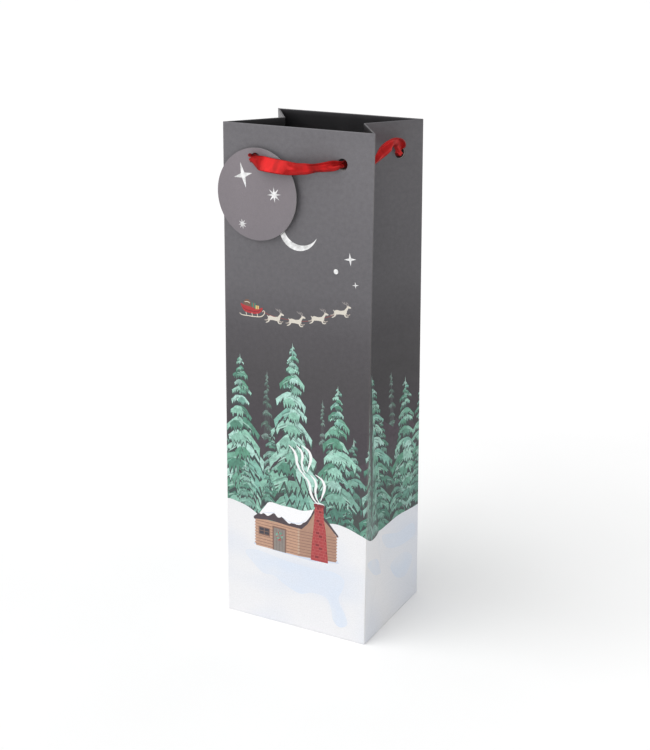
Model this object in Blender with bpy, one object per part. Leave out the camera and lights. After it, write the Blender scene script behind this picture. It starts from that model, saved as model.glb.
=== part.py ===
"""Wine gift bag: a folded paper bag with gusseted sides, a laced ribbon and a hanging tag.

Metres, +Z up. The front panel faces -Y and +X is to its right. The origin is the centre of the
underside of the base. Every crease of the folded sheet separates two nodes, because the two sides
of a crease turn against each other when the bag is opened, squeezed or folded flat.
"""

import math

import bmesh
import bpy
from mathutils import Vector

# The bag
HEIGHT = 0.355
WIDTH = 0.112
DEPTH = 0.089
LEAN = 0.008           # how far the front and the back each come in at the mouth
PAPER = 0.0004
CARD = 0.0006
GAP = 0.0003           # clearance between touching pieces

# The turned-over rim
HEM_DROP = 0.038       # how far the rim is turned down inside
HEM_GAP = 0.0005
HEM_HALF = 0.048       # half width of the front and back hems, short of the corners
RIM_INSET = 0.0008

# The base
BOARD_CARD = 0.0009
BOARD_MARGIN = 0.0016
FLAP_REACH = 0.034

# The lacing holes
HOLE_RADIUS = 0.0038
HOLE_HEIGHT = 0.334
HOLE_X = 0.033         # front and back holes, from the middle of the panel
HOLE_FROM_CORNER = 0.0185   # gusset holes, along the paper from the corner crease

# The ribbon
RIBBON_WIDTH = 0.009
RIBBON_THICK = 0.0006
NECK_WIDTH = 0.0044    # where the ribbon is bunched through a hole
NECK_THICK = 0.0012
BUNCH_FROM_HOLE = 0.0008  # from a hole's middle to where the gathered ribbon ends beside it
FLAT_FROM_HOLE = 0.0042   # from a hole's middle to where the ribbon lies flat
KNOT_SIZE = Vector((0.0072, 0.0062, 0.0090))

# The tag
TAG_RADIUS = 0.0305
TAG_THICK = 0.0006
TAG_HOLE_RADIUS = 0.0038
TAG_HOLE_DROP = 0.0235      # from the tag's hole down to its middle
TAG_HOLE = Vector((-0.0293, 0.0, 0.3332))
TAG_STAND_OFF = 0.0020      # from the front panel to the tag's back, at the hole
TAG_TURN = math.radians(2.0)    # its right side stands off the panel
TAG_TILT = math.radians(1.3)    # and so does its lower edge

HALF_W = WIDTH / 2
HALF_D = DEPTH / 2
APEX = HALF_D          # height of the point where the gusset's creases meet
WALL_FOOT = PAPER + GAP     # the walls start above the base panel


def clear_scene():
    for obj in list(bpy.data.objects):
        bpy.data.objects.remove(obj, do_unlink=True)


def material(name, colour, roughness, metallic=0.0):
    mat = bpy.data.materials.new(name)
    mat.use_nodes = True
    shader = mat.node_tree.nodes["Principled BSDF"]
    shader.inputs["Base Color"].default_value = (*colour, 1.0)
    shader.inputs["Roughness"].default_value = roughness
    shader.inputs["Metallic"].default_value = metallic
    return mat


def add_object(name, bm, mat):
    """Turn a bmesh into a named object whose faces point outwards."""
    bmesh.ops.recalc_face_normals(bm, faces=bm.faces)
    mesh = bpy.data.meshes.new(name)
    bm.to_mesh(mesh)
    bm.free()
    mesh.materials.append(mat)
    obj = bpy.data.objects.new(name, mesh)
    bpy.context.scene.collection.objects.link(obj)
    return obj


# ---- the folded sheet ----------------------------------------------------------------------

def lean_at(z):
    """How far the front or the back has come in at a height."""
    return LEAN * z / HEIGHT


def corner(side, end, z):
    """The corner crease. side is -1 left or +1 right, end is -1 front or +1 back."""
    return Vector((side * HALF_W, end * (HALF_D - lean_at(z)), z))


def crease_depth(z):
    """How far the gusset's middle crease is folded in, since the paper keeps its width."""
    open_half = HALF_D - lean_at(z)
    return math.sqrt(HALF_D ** 2 - open_half ** 2)


def middle(side, z):
    return Vector((side * (HALF_W - crease_depth(z)), 0.0, z))


def gusset_inner_edge(side, end, z):
    """A gusset half ends at the middle crease, and below the apex at the diagonal crease."""
    if z >= APEX:
        return middle(side, z)
    return corner(side, end, 0.0).lerp(middle(side, APEX), z / APEX)


def gusset_point(side, end, along, z):
    """A point of a gusset half, at a distance along the paper from its corner crease."""
    outer = corner(side, end, z)
    inner = gusset_inner_edge(side, end, z)
    return outer + (inner - outer).normalized() * along


def gusset_length(side, end, z):
    return (gusset_inner_edge(side, end, z) - corner(side, end, z)).length


def inward_normal(side, end, along, z):
    """The gusset's normal, pointing into the bag."""
    step = 0.001
    across = gusset_point(side, end, along + step, z) - gusset_point(side, end, along, z)
    rise = gusset_point(side, end, along, z + step) - gusset_point(side, end, along, z)
    normal = across.cross(rise).normalized()
    return normal if normal.x * side < 0 else -normal


def slab(name, mat, rows, start, thickness):
    """A closed sheet between two offsets. rows is a grid of (point, inward normal)."""
    bm = bmesh.new()
    sides = []
    for offset in (start, start + thickness):
        sides.append([[bm.verts.new(p + n * offset) for p, n in row] for row in rows])
    tall, wide = len(rows), len(rows[0])
    for grid in sides:
        for i in range(tall - 1):
            for j in range(wide - 1):
                a, b = grid[i][j], grid[i][j + 1]
                c, d = grid[i + 1][j + 1], grid[i + 1][j]
                bm.faces.new((a, b, c))
                bm.faces.new((a, c, d))
    outline = [(i, 0) for i in range(tall)] + [(tall - 1, j) for j in range(1, wide)]
    outline += [(i, wide - 1) for i in range(tall - 2, -1, -1)]
    outline += [(0, j) for j in range(wide - 2, 0, -1)]
    for k, (i, j) in enumerate(outline):
        m, n = outline[(k + 1) % len(outline)]
        bm.faces.new((sides[0][i][j], sides[0][m][n], sides[1][m][n], sides[1][i][j]))
    return add_object(name, bm, mat)


def panel_slab(name, mat, end, x_range, z_range, start, thickness):
    """A flat piece in, or parallel to, the front or the back panel."""
    lean = LEAN / HEIGHT
    inward = Vector((0.0, -end, -lean)).normalized()
    rows = [[(Vector((x, end * (HALF_D - lean_at(z)), z)), inward) for x in x_range]
            for z in z_range]
    return slab(name, mat, rows, start, thickness)


def gusset_slab(name, mat, side, end, trim, heights, start, thickness):
    """One half of a gusset between the corner crease and the middle crease."""
    near, far = trim
    columns = 3
    rows = []
    for z in heights:
        length = gusset_length(side, end, z)
        reach = length - far - min(near, length * 0.5)
        first = min(near, length * 0.5)
        alongs = [first + reach * j / columns for j in range(columns + 1)]
        rows.append([(gusset_point(side, end, s, z), inward_normal(side, end, s, z))
                     for s in alongs])
    return slab(name, mat, rows, start, thickness)


def cut_hole(obj, centre, direction, radius):
    """Drill a round hole through an object along a direction."""
    bm = bmesh.new()
    bmesh.ops.create_cone(bm, cap_ends=True, segments=14, radius1=radius, radius2=radius,
                          depth=0.008)
    cutter = add_object(obj.name + "_cutter", bm, obj.data.materials[0])
    cutter.location = centre
    cutter.rotation_mode = "QUATERNION"
    cutter.rotation_quaternion = direction.to_track_quat("Z", "Y")
    cutter.hide_render = True
    cutter.display_type = "WIRE"
    boolean = obj.modifiers.new("hole", "BOOLEAN")
    boolean.operation = "DIFFERENCE"
    boolean.solver = "EXACT"
    boolean.object = cutter


def panel_hole(end, x):
    """The middle of a lacing hole, on the outer face of the front or back panel."""
    return Vector((x, end * (HALF_D - lean_at(HOLE_HEIGHT)), HOLE_HEIGHT))


def gusset_hole(side, end):
    return gusset_point(side, end, HOLE_FROM_CORNER, HOLE_HEIGHT)


def make_wall(word, end, paper, card):
    """The front or back panel, with its card stiffener and its turned-over hem."""
    edge = HALF_W - GAP
    rim = HEIGHT - RIM_INSET
    pieces = [
        panel_slab(word + "_panel", paper, end, (-edge, edge), (WALL_FOOT, HEIGHT), 0.0, PAPER),
        panel_slab(word + "_stiffener", card, end, (-HEM_HALF, HEM_HALF),
                   (HEIGHT - HEM_DROP + RIM_INSET, rim), PAPER + GAP, CARD),
        panel_slab(word + "_hem", paper, end, (-HEM_HALF, HEM_HALF),
                   (HEIGHT - HEM_DROP, HEIGHT), PAPER + CARD + 2 * GAP, PAPER),
    ]
    for piece in pieces:
        for side in (-1, 1):
            cut_hole(piece, panel_hole(end, side * HOLE_X), Vector((0, 1, 0)), HOLE_RADIUS)


def make_gusset(word, side, paper):
    """The two folded halves of a side, their hems, and the triangle at its foot."""
    crease_trim = 0.0003
    corner_trim = 0.0016
    hem_trim = 0.0045
    hem_heights = [HEIGHT - HEM_DROP * (1 - k / 2) for k in range(3)]
    middle_rows = 6
    low = APEX
    rise = HEIGHT - HEM_DROP - low
    heights = [0.004, low] + [low + rise * k / middle_rows for k in range(1, middle_rows)]
    heights += hem_heights
    for place, end in (("front", -1), ("back", 1)):
        name = "gusset_" + word + "_" + place
        half = gusset_slab(name, paper, side, end, (corner_trim, crease_trim), heights,
                           0.0, PAPER)
        hem = gusset_slab(name + "_hem", paper, side, end, (hem_trim, 2 * crease_trim),
                          hem_heights, PAPER + HEM_GAP, PAPER)
        normal = inward_normal(side, end, HOLE_FROM_CORNER, HOLE_HEIGHT)
        for piece in (half, hem):
            cut_hole(piece, gusset_hole(side, end), normal, HOLE_RADIUS)
    make_gusset_foot("gusset_" + word + "_foot", side, paper)


def make_gusset_foot(name, side, paper):
    """The triangle between the base and the two diagonal creases."""
    margin = 0.0011
    apex = middle(side, APEX)
    foot = Vector((side * HALF_W, 0.0, 0.0))
    slope = (apex - foot).normalized()
    inward = Vector((-side * slope.z, 0.0, side * slope.x))
    low = foot + slope * WALL_FOOT
    top = apex - slope * (margin * 1.5)
    half = HALF_D - WALL_FOOT - margin
    rows = [[(low + Vector((0, y, 0)), inward) for y in (-half, half)],
            [(top + Vector((0, y, 0)), inward) for y in (-0.0004, 0.0004)]]
    return slab(name, paper, rows, 0.0, PAPER)


# ---- the base ------------------------------------------------------------------------------

def layer(name, mat, outline, z, thickness):
    """A flat layer of the base, extruded up from its outline."""
    bm = bmesh.new()
    face = bm.faces.new([bm.verts.new((x, y, z)) for x, y in outline])
    lifted = bmesh.ops.extrude_face_region(bm, geom=[face])["geom"]
    verts = [v for v in lifted if isinstance(v, bmesh.types.BMVert)]
    bmesh.ops.translate(bm, vec=(0, 0, thickness), verts=verts)
    return add_object(name, bm, mat)


def rectangle(half_x, y0, y1):
    return [(-half_x, y0), (half_x, y0), (half_x, y1), (-half_x, y1)]


def make_base(paper, card):
    """The outer base panel, the flaps folded in above it, and the loose card."""
    layer("base_panel", paper, rectangle(HALF_W, -HALF_D, HALF_D), 0.0, PAPER)
    inner_x = HALF_W - PAPER - 2 * GAP
    inner_y = HALF_D - PAPER - 2 * GAP
    first = PAPER + GAP
    second = first + PAPER + GAP
    third = second + PAPER + GAP
    taper = 0.020
    for word, side in (("left", -1), ("right", 1)):
        x_in = side * (inner_x - FLAP_REACH)
        outline = [(side * inner_x, -inner_y), (x_in, -inner_y + taper),
                   (x_in, inner_y - taper), (side * inner_x, inner_y)]
        layer("bottom_flap_" + word, paper, outline, first, PAPER)
    cut = 0.012
    back = [(-inner_x, inner_y), (-inner_x + cut, inner_y - FLAP_REACH),
            (inner_x - cut, inner_y - FLAP_REACH), (inner_x, inner_y)]
    layer("bottom_flap_back", paper, back, second, PAPER)
    board_x = HALF_W - BOARD_MARGIN
    board_y = HALF_D - BOARD_MARGIN
    layer("base_board", card, rectangle(board_x, -board_y, board_y), third, BOARD_CARD)


def make_seam(paper):
    """The glue flap that closes the tube, inside the back panel at the left corner."""
    strip = (-HALF_W + 0.0026, -HALF_W + 0.0145)
    heights = (0.008, HEIGHT - HEM_DROP - 0.004)
    panel_slab("seam_flap", paper, 1, strip, heights, PAPER + GAP, PAPER)


# ---- the ribbon ----------------------------------------------------------------------------

def band(name, mat, stations):
    """A flat band. Each station is (middle, direction of its width, width, thickness)."""
    bm = bmesh.new()
    rings = []
    for i, (point, across, width, thick) in enumerate(stations):
        before = stations[max(i - 1, 0)][0]
        after = stations[min(i + 1, len(stations) - 1)][0]
        along = (after - before).normalized()
        across = (across - along * across.dot(along)).normalized()
        out = along.cross(across)
        ring = [bm.verts.new(point + across * (a * width / 2) + out * (b * thick / 2))
                for a, b in ((-1, -1), (1, -1), (1, 1), (-1, 1))]
        rings.append(ring)
    for first, second in zip(rings, rings[1:]):
        for k in range(4):
            m = (k + 1) % 4
            bm.faces.new((first[k], first[m], second[m], second[k]))
    bm.faces.new(rings[0])
    bm.faces.new(rings[-1])
    bmesh.ops.triangulate(bm, faces=bm.faces)
    return add_object(name, bm, mat)


def bunched(point, up):
    return (point, up, NECK_WIDTH, NECK_THICK)


def flat(point, up):
    return (point, up, RIBBON_WIDTH, RIBBON_THICK)


def tag_face_offset(x):
    """How far the front of the tag stands off the front panel at the height of its hole."""
    return TAG_STAND_OFF + TAG_THICK + (x - TAG_HOLE.x) * math.tan(TAG_TURN)


def make_front_span(satin):
    """The stretch across the front, which comes out through the tag's hole."""
    up = Vector((0, 0, 1))
    surface = panel_hole(-1, 0).y
    lie = 0.0009            # from what the ribbon lies on to the middle of its thickness
    tag_edge_x = 0.006      # the tag is under the ribbon up to here
    in_hole = [(-0.0312, 0.0006), (-0.0310, TAG_STAND_OFF + TAG_THICK + 0.0004)]
    sags = [(-0.0262, 0.0018), (-0.0180, 0.0034), (-0.0080, 0.0042), (0.0030, 0.0038),
            (0.0140, 0.0028), (0.0240, 0.0015)]
    stations = [bunched(Vector((x, surface - off, HOLE_HEIGHT)), up) for x, off in in_hole]
    for x, sag in sags:
        fall = max(0.0, (x - tag_edge_x) / (HOLE_X - tag_edge_x))
        off = (tag_face_offset(min(x, tag_edge_x)) + lie) * (1 - fall) + lie * fall
        stations.append(flat(Vector((x, surface - off - 0.0003, HOLE_HEIGHT - sag)), up))
    stations.append(flat(Vector((HOLE_X - FLAT_FROM_HOLE, surface - 0.0010, HOLE_HEIGHT)), up))
    stations.append(bunched(Vector((HOLE_X - BUNCH_FROM_HOLE, surface - 0.0014, HOLE_HEIGHT)), up))
    band("ribbon_front", satin, stations)


def make_back_span(satin):
    """The plain stretch across the back, from hole to hole."""
    up = Vector((0, 0, 1))
    surface = panel_hole(1, 0).y
    steps = 6
    deepest = 0.0035
    reach = HOLE_X - BUNCH_FROM_HOLE
    stations = [bunched(Vector((-reach, surface + 0.0014, HOLE_HEIGHT)), up)]
    for k in range(steps + 1):
        x = (HOLE_X - FLAT_FROM_HOLE) * (2 * k / steps - 1)
        sag = deepest * (1 - (x / HOLE_X) ** 2)
        stations.append(flat(Vector((x, surface + 0.0010 + 0.15 * sag, HOLE_HEIGHT - sag)), up))
    stations.append(bunched(Vector((reach, surface + 0.0014, HOLE_HEIGHT)), up))
    band("ribbon_back", satin, stations)


def corner_route(side, end):
    """The ribbon inside the bag, from a front or back hole round the corner to the gusset's."""
    up = Vector((0, 0, 1))
    start = panel_hole(end, side * HOLE_X)
    into = Vector((0, -end, 0))
    finish = gusset_hole(side, end)
    inside = inward_normal(side, end, HOLE_FROM_CORNER, HOLE_HEIGHT)
    inside = Vector((inside.x, inside.y, 0)).normalized()
    points = [bunched(start - into * 0.0001, up), bunched(start + into * 0.0030, up)]
    for along, bow in ((0.34, 0.0030), (0.66, 0.0030)):
        middle_way = (start + into * 0.0034).lerp(finish + inside * 0.0024, along)
        points.append((middle_way + (into + inside).normalized() * bow * 0.5, up,
                       0.0075, RIBBON_THICK))
    points += [bunched(finish + inside * 0.0022, up), bunched(finish - inside * 0.0001, up)]
    return points


def make_valley_span(name, satin, side):
    """Outside the gusset, arching over its valley from the front half's hole to the back's."""
    up = Vector((0, 0, 1))
    steps = 8
    rise = 0.0090
    bulge = 0.0040
    start = gusset_hole(side, -1)
    out = -inward_normal(side, -1, HOLE_FROM_CORNER, HOLE_HEIGHT)
    start = start + Vector((out.x, out.y, 0)).normalized() * 0.0015
    stations = []
    for k in range(steps + 1):
        t = k / steps
        y = start.y * (1 - 2 * t)
        wave = math.sin(math.pi * t)
        point = Vector((start.x + side * (bulge * wave), y, HOLE_HEIGHT + rise * wave))
        if k in (0, steps):
            stations.append(bunched(point, up))
        else:
            stations.append(flat(point + Vector((side * 0.0010, 0, 0)), up))
    band(name, satin, stations)


def make_knotted_corner(satin):
    """The back left corner span, where the ribbon's two ends are tied in a knot."""
    route = corner_route(-1, 1)
    up = Vector((0, 0, 1))
    centre = route[2][0].lerp(route[3][0], 0.5)
    along = (route[3][0] - route[2][0]).normalized()
    clear = KNOT_SIZE.x / 2 + GAP
    for name, ends, way in (("ribbon_end_panel", route[:2], -1), ("ribbon_end_gusset", route[:3:-1], 1)):
        tip = (centre + along * (way * clear), up, 0.0060, RIBBON_THICK)
        band(name, satin, ends + [tip])
    bm = bmesh.new()
    bmesh.ops.create_uvsphere(bm, u_segments=10, v_segments=6, radius=0.5)
    bmesh.ops.scale(bm, vec=KNOT_SIZE, verts=bm.verts)
    turn = along.to_track_quat("X", "Z").to_matrix()
    bmesh.ops.rotate(bm, matrix=turn, verts=bm.verts)
    bmesh.ops.translate(bm, vec=centre, verts=bm.verts)
    add_object("ribbon_knot", bm, satin)


# ---- the tag -------------------------------------------------------------------------------

def make_tag(card):
    """A round card that hangs by its hole, standing a little off the front panel."""
    bm = bmesh.new()
    bmesh.ops.create_cone(bm, cap_ends=True, segments=48, radius1=TAG_RADIUS,
                          radius2=TAG_RADIUS, depth=TAG_THICK)
    tag = add_object("gift_tag", bm, card)
    hang = bpy.data.objects.new("tag_hang", None)
    bpy.context.scene.collection.objects.link(hang)
    surface = panel_hole(-1, 0).y
    hang.location = Vector((TAG_HOLE.x, surface - TAG_STAND_OFF - TAG_THICK / 2, TAG_HOLE.z))
    hang.rotation_euler = (math.pi / 2 - TAG_TILT, 0.0, -TAG_TURN)
    tag.parent = hang
    tag.location = (0.0008, -TAG_HOLE_DROP, 0.0)
    bpy.context.view_layer.update()
    normal = hang.matrix_world.to_3x3() @ Vector((0, 0, 1))
    cut_hole(tag, hang.matrix_world.translation, normal, TAG_HOLE_RADIUS)


def main():
    clear_scene()
    paper = material("printed_paper", (0.05, 0.05, 0.055), 0.45)
    lining = material("plain_card", (0.62, 0.60, 0.56), 0.85)
    satin = material("red_satin", (0.62, 0.05, 0.05), 0.35)
    tag_card = material("tag_card", (0.10, 0.09, 0.11), 0.5)
    make_wall("front", -1, paper, lining)
    make_wall("back", 1, paper, lining)
    for word, side in (("left", -1), ("right", 1)):
        make_gusset(word, side, paper)
    make_base(paper, lining)
    make_seam(paper)
    make_front_span(satin)
    make_back_span(satin)
    for name, side, end in (("front_left", -1, -1), ("front_right", 1, -1), ("back_right", 1, 1)):
        band("ribbon_corner_" + name, satin, corner_route(side, end))
    make_knotted_corner(satin)
    for word, side in (("left", -1), ("right", 1)):
        make_valley_span("ribbon_valley_" + word, satin, side)
    make_tag(tag_card)


main()
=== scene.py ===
"""Looks of a wine gift bag: its printed and folded sheet, its satin ribbon and its hanging tag.

The bag is made as the real one is. One flat sheet is printed first and then folded. On the flat
sheet u runs round the bag, from the middle of the front panel towards the right, and v runs up from
the foot. The print is laid out in millimetres of that sheet, and fold() says where each point of
it lies on the folded bag, in metres. A mosaic cuts each stretch of the sheet along the edges of the
printed shapes, so the print is part of the paper's own surface.
"""

import math
import random

import bmesh
import bpy
import numpy as np
from mathutils import Euler, Matrix, Vector, noise
from mathutils.geometry import delaunay_2d_cdt


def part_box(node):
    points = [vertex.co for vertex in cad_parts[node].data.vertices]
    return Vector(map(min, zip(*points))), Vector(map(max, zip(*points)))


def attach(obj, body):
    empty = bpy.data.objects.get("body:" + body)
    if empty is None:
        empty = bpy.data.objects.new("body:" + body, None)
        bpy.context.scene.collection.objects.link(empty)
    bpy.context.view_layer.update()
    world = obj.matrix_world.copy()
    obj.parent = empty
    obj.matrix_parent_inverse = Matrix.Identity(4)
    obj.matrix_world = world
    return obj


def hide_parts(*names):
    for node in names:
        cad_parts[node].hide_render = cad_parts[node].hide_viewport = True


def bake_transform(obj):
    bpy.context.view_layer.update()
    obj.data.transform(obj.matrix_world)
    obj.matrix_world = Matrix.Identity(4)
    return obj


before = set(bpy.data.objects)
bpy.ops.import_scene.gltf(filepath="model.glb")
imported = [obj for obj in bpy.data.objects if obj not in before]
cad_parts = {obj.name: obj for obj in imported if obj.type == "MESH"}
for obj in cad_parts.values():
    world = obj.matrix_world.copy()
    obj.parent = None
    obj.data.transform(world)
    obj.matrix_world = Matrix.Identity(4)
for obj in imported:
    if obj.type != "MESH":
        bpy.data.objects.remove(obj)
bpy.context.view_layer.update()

# ---- sizes, in metres ----------------------------------------------------------------------

MM = 0.001
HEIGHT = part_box("front_panel")[1].z
HALF_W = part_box("base_panel")[1].x
HALF_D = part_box("base_panel")[1].y
CAD_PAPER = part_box("base_panel")[1].z
LEAN = HALF_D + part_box("front_panel")[1].y - CAD_PAPER   # how far each wall comes in at the mouth
APEX = HALF_D           # height of the point where a gusset's creases meet

PAPER = 0.0003          # thickness of the folded sheet
ROUND = 0.0008          # from a crease to where its rounding ends
FOOT_ROUND = 0.0008
BASE_GAP = 0.00008      # round the base, so the back wall can lean without touching it
RIM_ROUND = 0.00058     # half the thickness of the turned-over rim
CORNER_ROOM = 0.00030   # thickness left for each hem right in a corner
HEM_DROP = 0.038        # how far the rim is turned down inside
CREASE_HALF = 0.0007    # half width of the crease pressed across each gusset's foot
CREASE_DEPTH = 0.00010
STRIP = 0.002           # how far a gusset's sheet reaches past its corners

HOLE_RADIUS = 0.0038
HOLE_HEIGHT = 0.334
HOLE_X = 0.033          # front and back holes, from the middle of the panel
HOLE_FROM_CORNER = 0.0185   # gusset holes, along the paper from the corner crease

RIBBON_WIDTH = 0.009
NECK_WIDTH = 0.0046     # where the ribbon is bunched through a hole
SATIN_THICK = 0.00032
PAST_HOLE = 0.0004      # how far an inner stretch reaches out past a hole's middle

TAG_RADIUS = 0.0305
TAG_THICK = 0.0006
TAG_HOLE_RADIUS = 0.0038
TAG_HOLE_DROP = 0.0235  # from the tag's hole down to its middle
TAG_HOLE = Vector((-0.0293, 0.0, 0.3332))
TAG_STAND_OFF = 0.0020  # from the front panel to the tag's back, at the hole
TAG_TURN = math.radians(2.0)    # its right side stands off the panel
TAG_TILT = math.radians(1.3)    # and so does its lower edge

RIM_START = HEIGHT - RIM_ROUND
RIM_END = RIM_START + math.pi * RIM_ROUND
GUSSET = 2 * HALF_D
UP = Vector((0.0, 0.0, 1.0))


def add_object(name, data):
    """A new object in the scene."""
    obj = bpy.data.objects.new(name, data)
    bpy.context.scene.collection.objects.link(obj)
    return obj


# ---- the folded sheet ----------------------------------------------------------------------

def lean_at(z):
    """How far the front or the back has come in at a height."""
    return LEAN * z / HEIGHT


def corner(side, end, z):
    """The sharp corner crease. side is -1 left or +1 right, end is -1 front or +1 back."""
    return Vector((side * HALF_W, end * (HALF_D - lean_at(z)), z))


def middle(side, z):
    """The gusset's middle crease, folded in because the paper keeps its width."""
    depth = math.sqrt(HALF_D ** 2 - (HALF_D - lean_at(z)) ** 2)
    return Vector((side * (HALF_W - depth), 0.0, z))


def sharp_section(side, s, z):
    """The outline at a height with sharp creases; s runs back from the front corner."""
    wall = HALF_D - lean_at(z)
    if s <= 0:
        return Vector((side * (HALF_W + s), -wall, z))
    if s >= GUSSET:
        return Vector((side * (HALF_W - (s - GUSSET)), wall, z))
    end = -1 if s < HALF_D else 1
    along = s if end < 0 else GUSSET - s
    outer = corner(side, end, z)
    if z >= APEX:
        return outer.lerp(middle(side, z), along / HALF_D)
    diagonal = corner(side, end, 0.0).lerp(middle(side, APEX), z / APEX)
    if along <= z:
        return outer.lerp(diagonal, along / z)
    centre = Vector((diagonal.x, 0.0, z))
    return diagonal.lerp(centre, (along - z) / (HALF_D - z))


def section(u, z):
    """The outline at a height, with the corner and middle creases rounded."""
    side = 1.0 if u >= 0 else -1.0
    s = abs(u) - HALF_W
    for crease in (0.0, HALF_D, GUSSET):
        if abs(s - crease) < ROUND:
            a, b, c = (sharp_section(side, crease + k * ROUND, z) for k in (-1, 0, 1))
            way = (s - crease + ROUND) / (2 * ROUND)
            pull = (c - a).length / (2 * ROUND)
            shares = ((1 - way) ** 2, 2 * way * (1 - way) * pull, way * way)
            return (a * shares[0] + b * shares[1] + c * shares[2]) / sum(shares)
    return sharp_section(side, s, z)


def outward(u, z):
    """The printed face's normal."""
    if abs(u) - HALF_W <= -ROUND or abs(u) - HALF_W >= GUSSET + ROUND:
        front = -1.0 if abs(u) < HALF_W else 1.0
        return Vector((0.0, front * HEIGHT, LEAN)).normalized()
    step = 0.0002
    z = max(z, 2 * step)
    across = section(u + step, z) - section(u - step, z)
    rise = section(u, z + step) - section(u, z - step)
    return across.cross(rise).normalized()


def from_corner(u):
    """Distance along the sheet to the nearest corner crease."""
    s = abs(u) - HALF_W
    return min(abs(s), abs(s - GUSSET))


def rim_half(u):
    """Half the rim's thickness, which the two hems of a corner share by thinning towards it."""
    room = CORNER_ROOM + 0.45 * max(0.0, from_corner(u) - ROUND)
    return min(RIM_ROUND, room / 2)


def ridge(u, v):
    """How far in from the surface the crease lies that flat packing presses at the gusset's foot."""
    if abs(u) - HALF_W <= HALF_D or v >= 2 * APEX:
        return 0.0
    return CREASE_DEPTH * max(0.0, 1 - abs(v - APEX) / CREASE_HALF)


def fold(u, v):
    """Where a point of the flat sheet's printed face lies, and the way into the paper there."""
    tilt, z, inset = 0.0, v, 0.0
    if v < FOOT_ROUND:
        turn = (FOOT_ROUND - v) / (2 * FOOT_ROUND) * math.pi / 2
        z = FOOT_ROUND * (1 - math.sin(turn))
        inset = FOOT_ROUND * (1 - math.cos(turn))
        tilt = -turn
    elif v > RIM_END:
        tilt, z, inset = math.pi, RIM_START - (v - RIM_END), 2 * rim_half(u)
    elif v > RIM_START:
        tilt = (v - RIM_START) / RIM_ROUND
        z = RIM_START + RIM_ROUND * math.sin(tilt)
        inset = rim_half(u) * (1 - math.cos(tilt))
    out = outward(u, z)
    level = Vector((out.x, out.y, 0.0)).normalized()
    inward = -(out * math.cos(tilt) + UP * math.sin(tilt))
    return section(u, z) - level * inset + inward * ridge(u, v), inward


def sheet_thickness(u, v):
    """The paper's thickness, thinner where two hems meet in a corner."""
    near_rim = min(1.0, max(0.0, (v - (HEIGHT - HEM_DROP - 0.004)) / 0.004))
    thin = min(PAPER, 0.75 * rim_half(u))
    return PAPER + (thin - PAPER) * near_rim


# ---- shapes on the flat sheet, in millimetres ----------------------------------------------

def vec(*numbers):
    return Vector(numbers)


def curve(points, per=6, closed=False):
    """Points along a smooth line through the given ones."""
    points = [Vector(p) for p in points]
    n = len(points)
    out = []
    for i in range(n if closed else n - 1):
        if closed:
            a, b, c, d = (points[(i + k) % n] for k in (-1, 0, 1, 2))
        else:
            a, b, c, d = (points[min(max(i + k, 0), n - 1)] for k in (-1, 0, 1, 2))
        for k in range(per):
            t = k / per
            out.append(0.5 * (2 * b + (c - a) * t + (2 * a - 5 * b + 4 * c - d) * t ** 2
                              + (3 * b - a - 3 * c + d) * t ** 3))
    if not closed:
        out.append(points[-1])
    return out


def stroke(points, widths, per=5):
    """The outline of a brush stroke along a smooth line, with a width that changes on the way."""
    line = curve(points, per)
    last = len(line) - 1
    left, right = [], []
    for i, p in enumerate(line):
        along = (line[min(i + 1, last)] - line[max(i - 1, 0)]).normalized()
        side = Vector((-along.y, along.x))
        place = i / last * (len(widths) - 1)
        k = min(int(place), len(widths) - 2)
        half = (widths[k] + (widths[k + 1] - widths[k]) * (place - k)) / 2
        left.append(p + side * half)
        right.append(p - side * half)
    return left + right[::-1]


def circle(x, y, radius, sides=24):
    turns = [2 * math.pi * k / sides for k in range(sides)]
    return [Vector((x + radius * math.cos(a), y + radius * math.sin(a))) for a in turns]


def star(x, y, reach, tips, turn=0.0, waist=0.28, uneven=1.0):
    """A pointed star. Every second tip is shorter by the share uneven."""
    out = []
    for k in range(2 * tips):
        radius = reach * (uneven if k % 4 == 2 else 1.0) if k % 2 == 0 else reach * waist
        a = turn + math.pi * k / tips + math.pi / 2
        out.append(Vector((x + radius * math.cos(a), y + radius * math.sin(a))))
    return out


def crescent(x, y, radius, shift, inner, steps=28):
    """The part of a disc that a shifted disc leaves."""
    gap = shift.length
    spread = math.acos((gap ** 2 + radius ** 2 - inner ** 2) / (2 * gap * radius))
    bearing = math.atan2(shift.y, shift.x)
    middle_of = Vector((x, y))
    centre = middle_of + shift
    outer_arc = []
    for k in range(steps + 1):
        a = bearing + spread + (2 * math.pi - 2 * spread) * k / steps
        outer_arc.append(middle_of + radius * Vector((math.cos(a), math.sin(a))))
    first = (outer_arc[-1] - centre)
    last = (outer_arc[0] - centre)
    a0 = math.atan2(first.y, first.x)
    a1 = math.atan2(last.y, last.x)
    while a1 > a0:
        a1 -= 2 * math.pi
    inner_arc = [centre + inner * Vector((math.cos(a0 + (a1 - a0) * k / steps),
                                          math.sin(a0 + (a1 - a0) * k / steps)))
                 for k in range(1, steps)]
    return outer_arc + inner_arc


def srgb(red, green, blue):
    """A printed colour, given as a person reads it off a screen, in the shader's linear values."""
    def linear(c):
        c /= 255
        return c / 12.92 if c <= 0.04045 else ((c + 0.055) / 1.055) ** 2.4
    return (linear(red), linear(green), linear(blue))


def mix(a, b, share):
    share = min(1.0, max(0.0, share))
    return tuple(x + (y - x) * share for x, y in zip(a, b))


def scaled(colour, factor):
    return tuple(c * factor for c in colour)


# ---- the print -----------------------------------------------------------------------------

PRINT = []      # (outline, colour or function of (u, v), brushwork, foil), first laid down first


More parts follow.
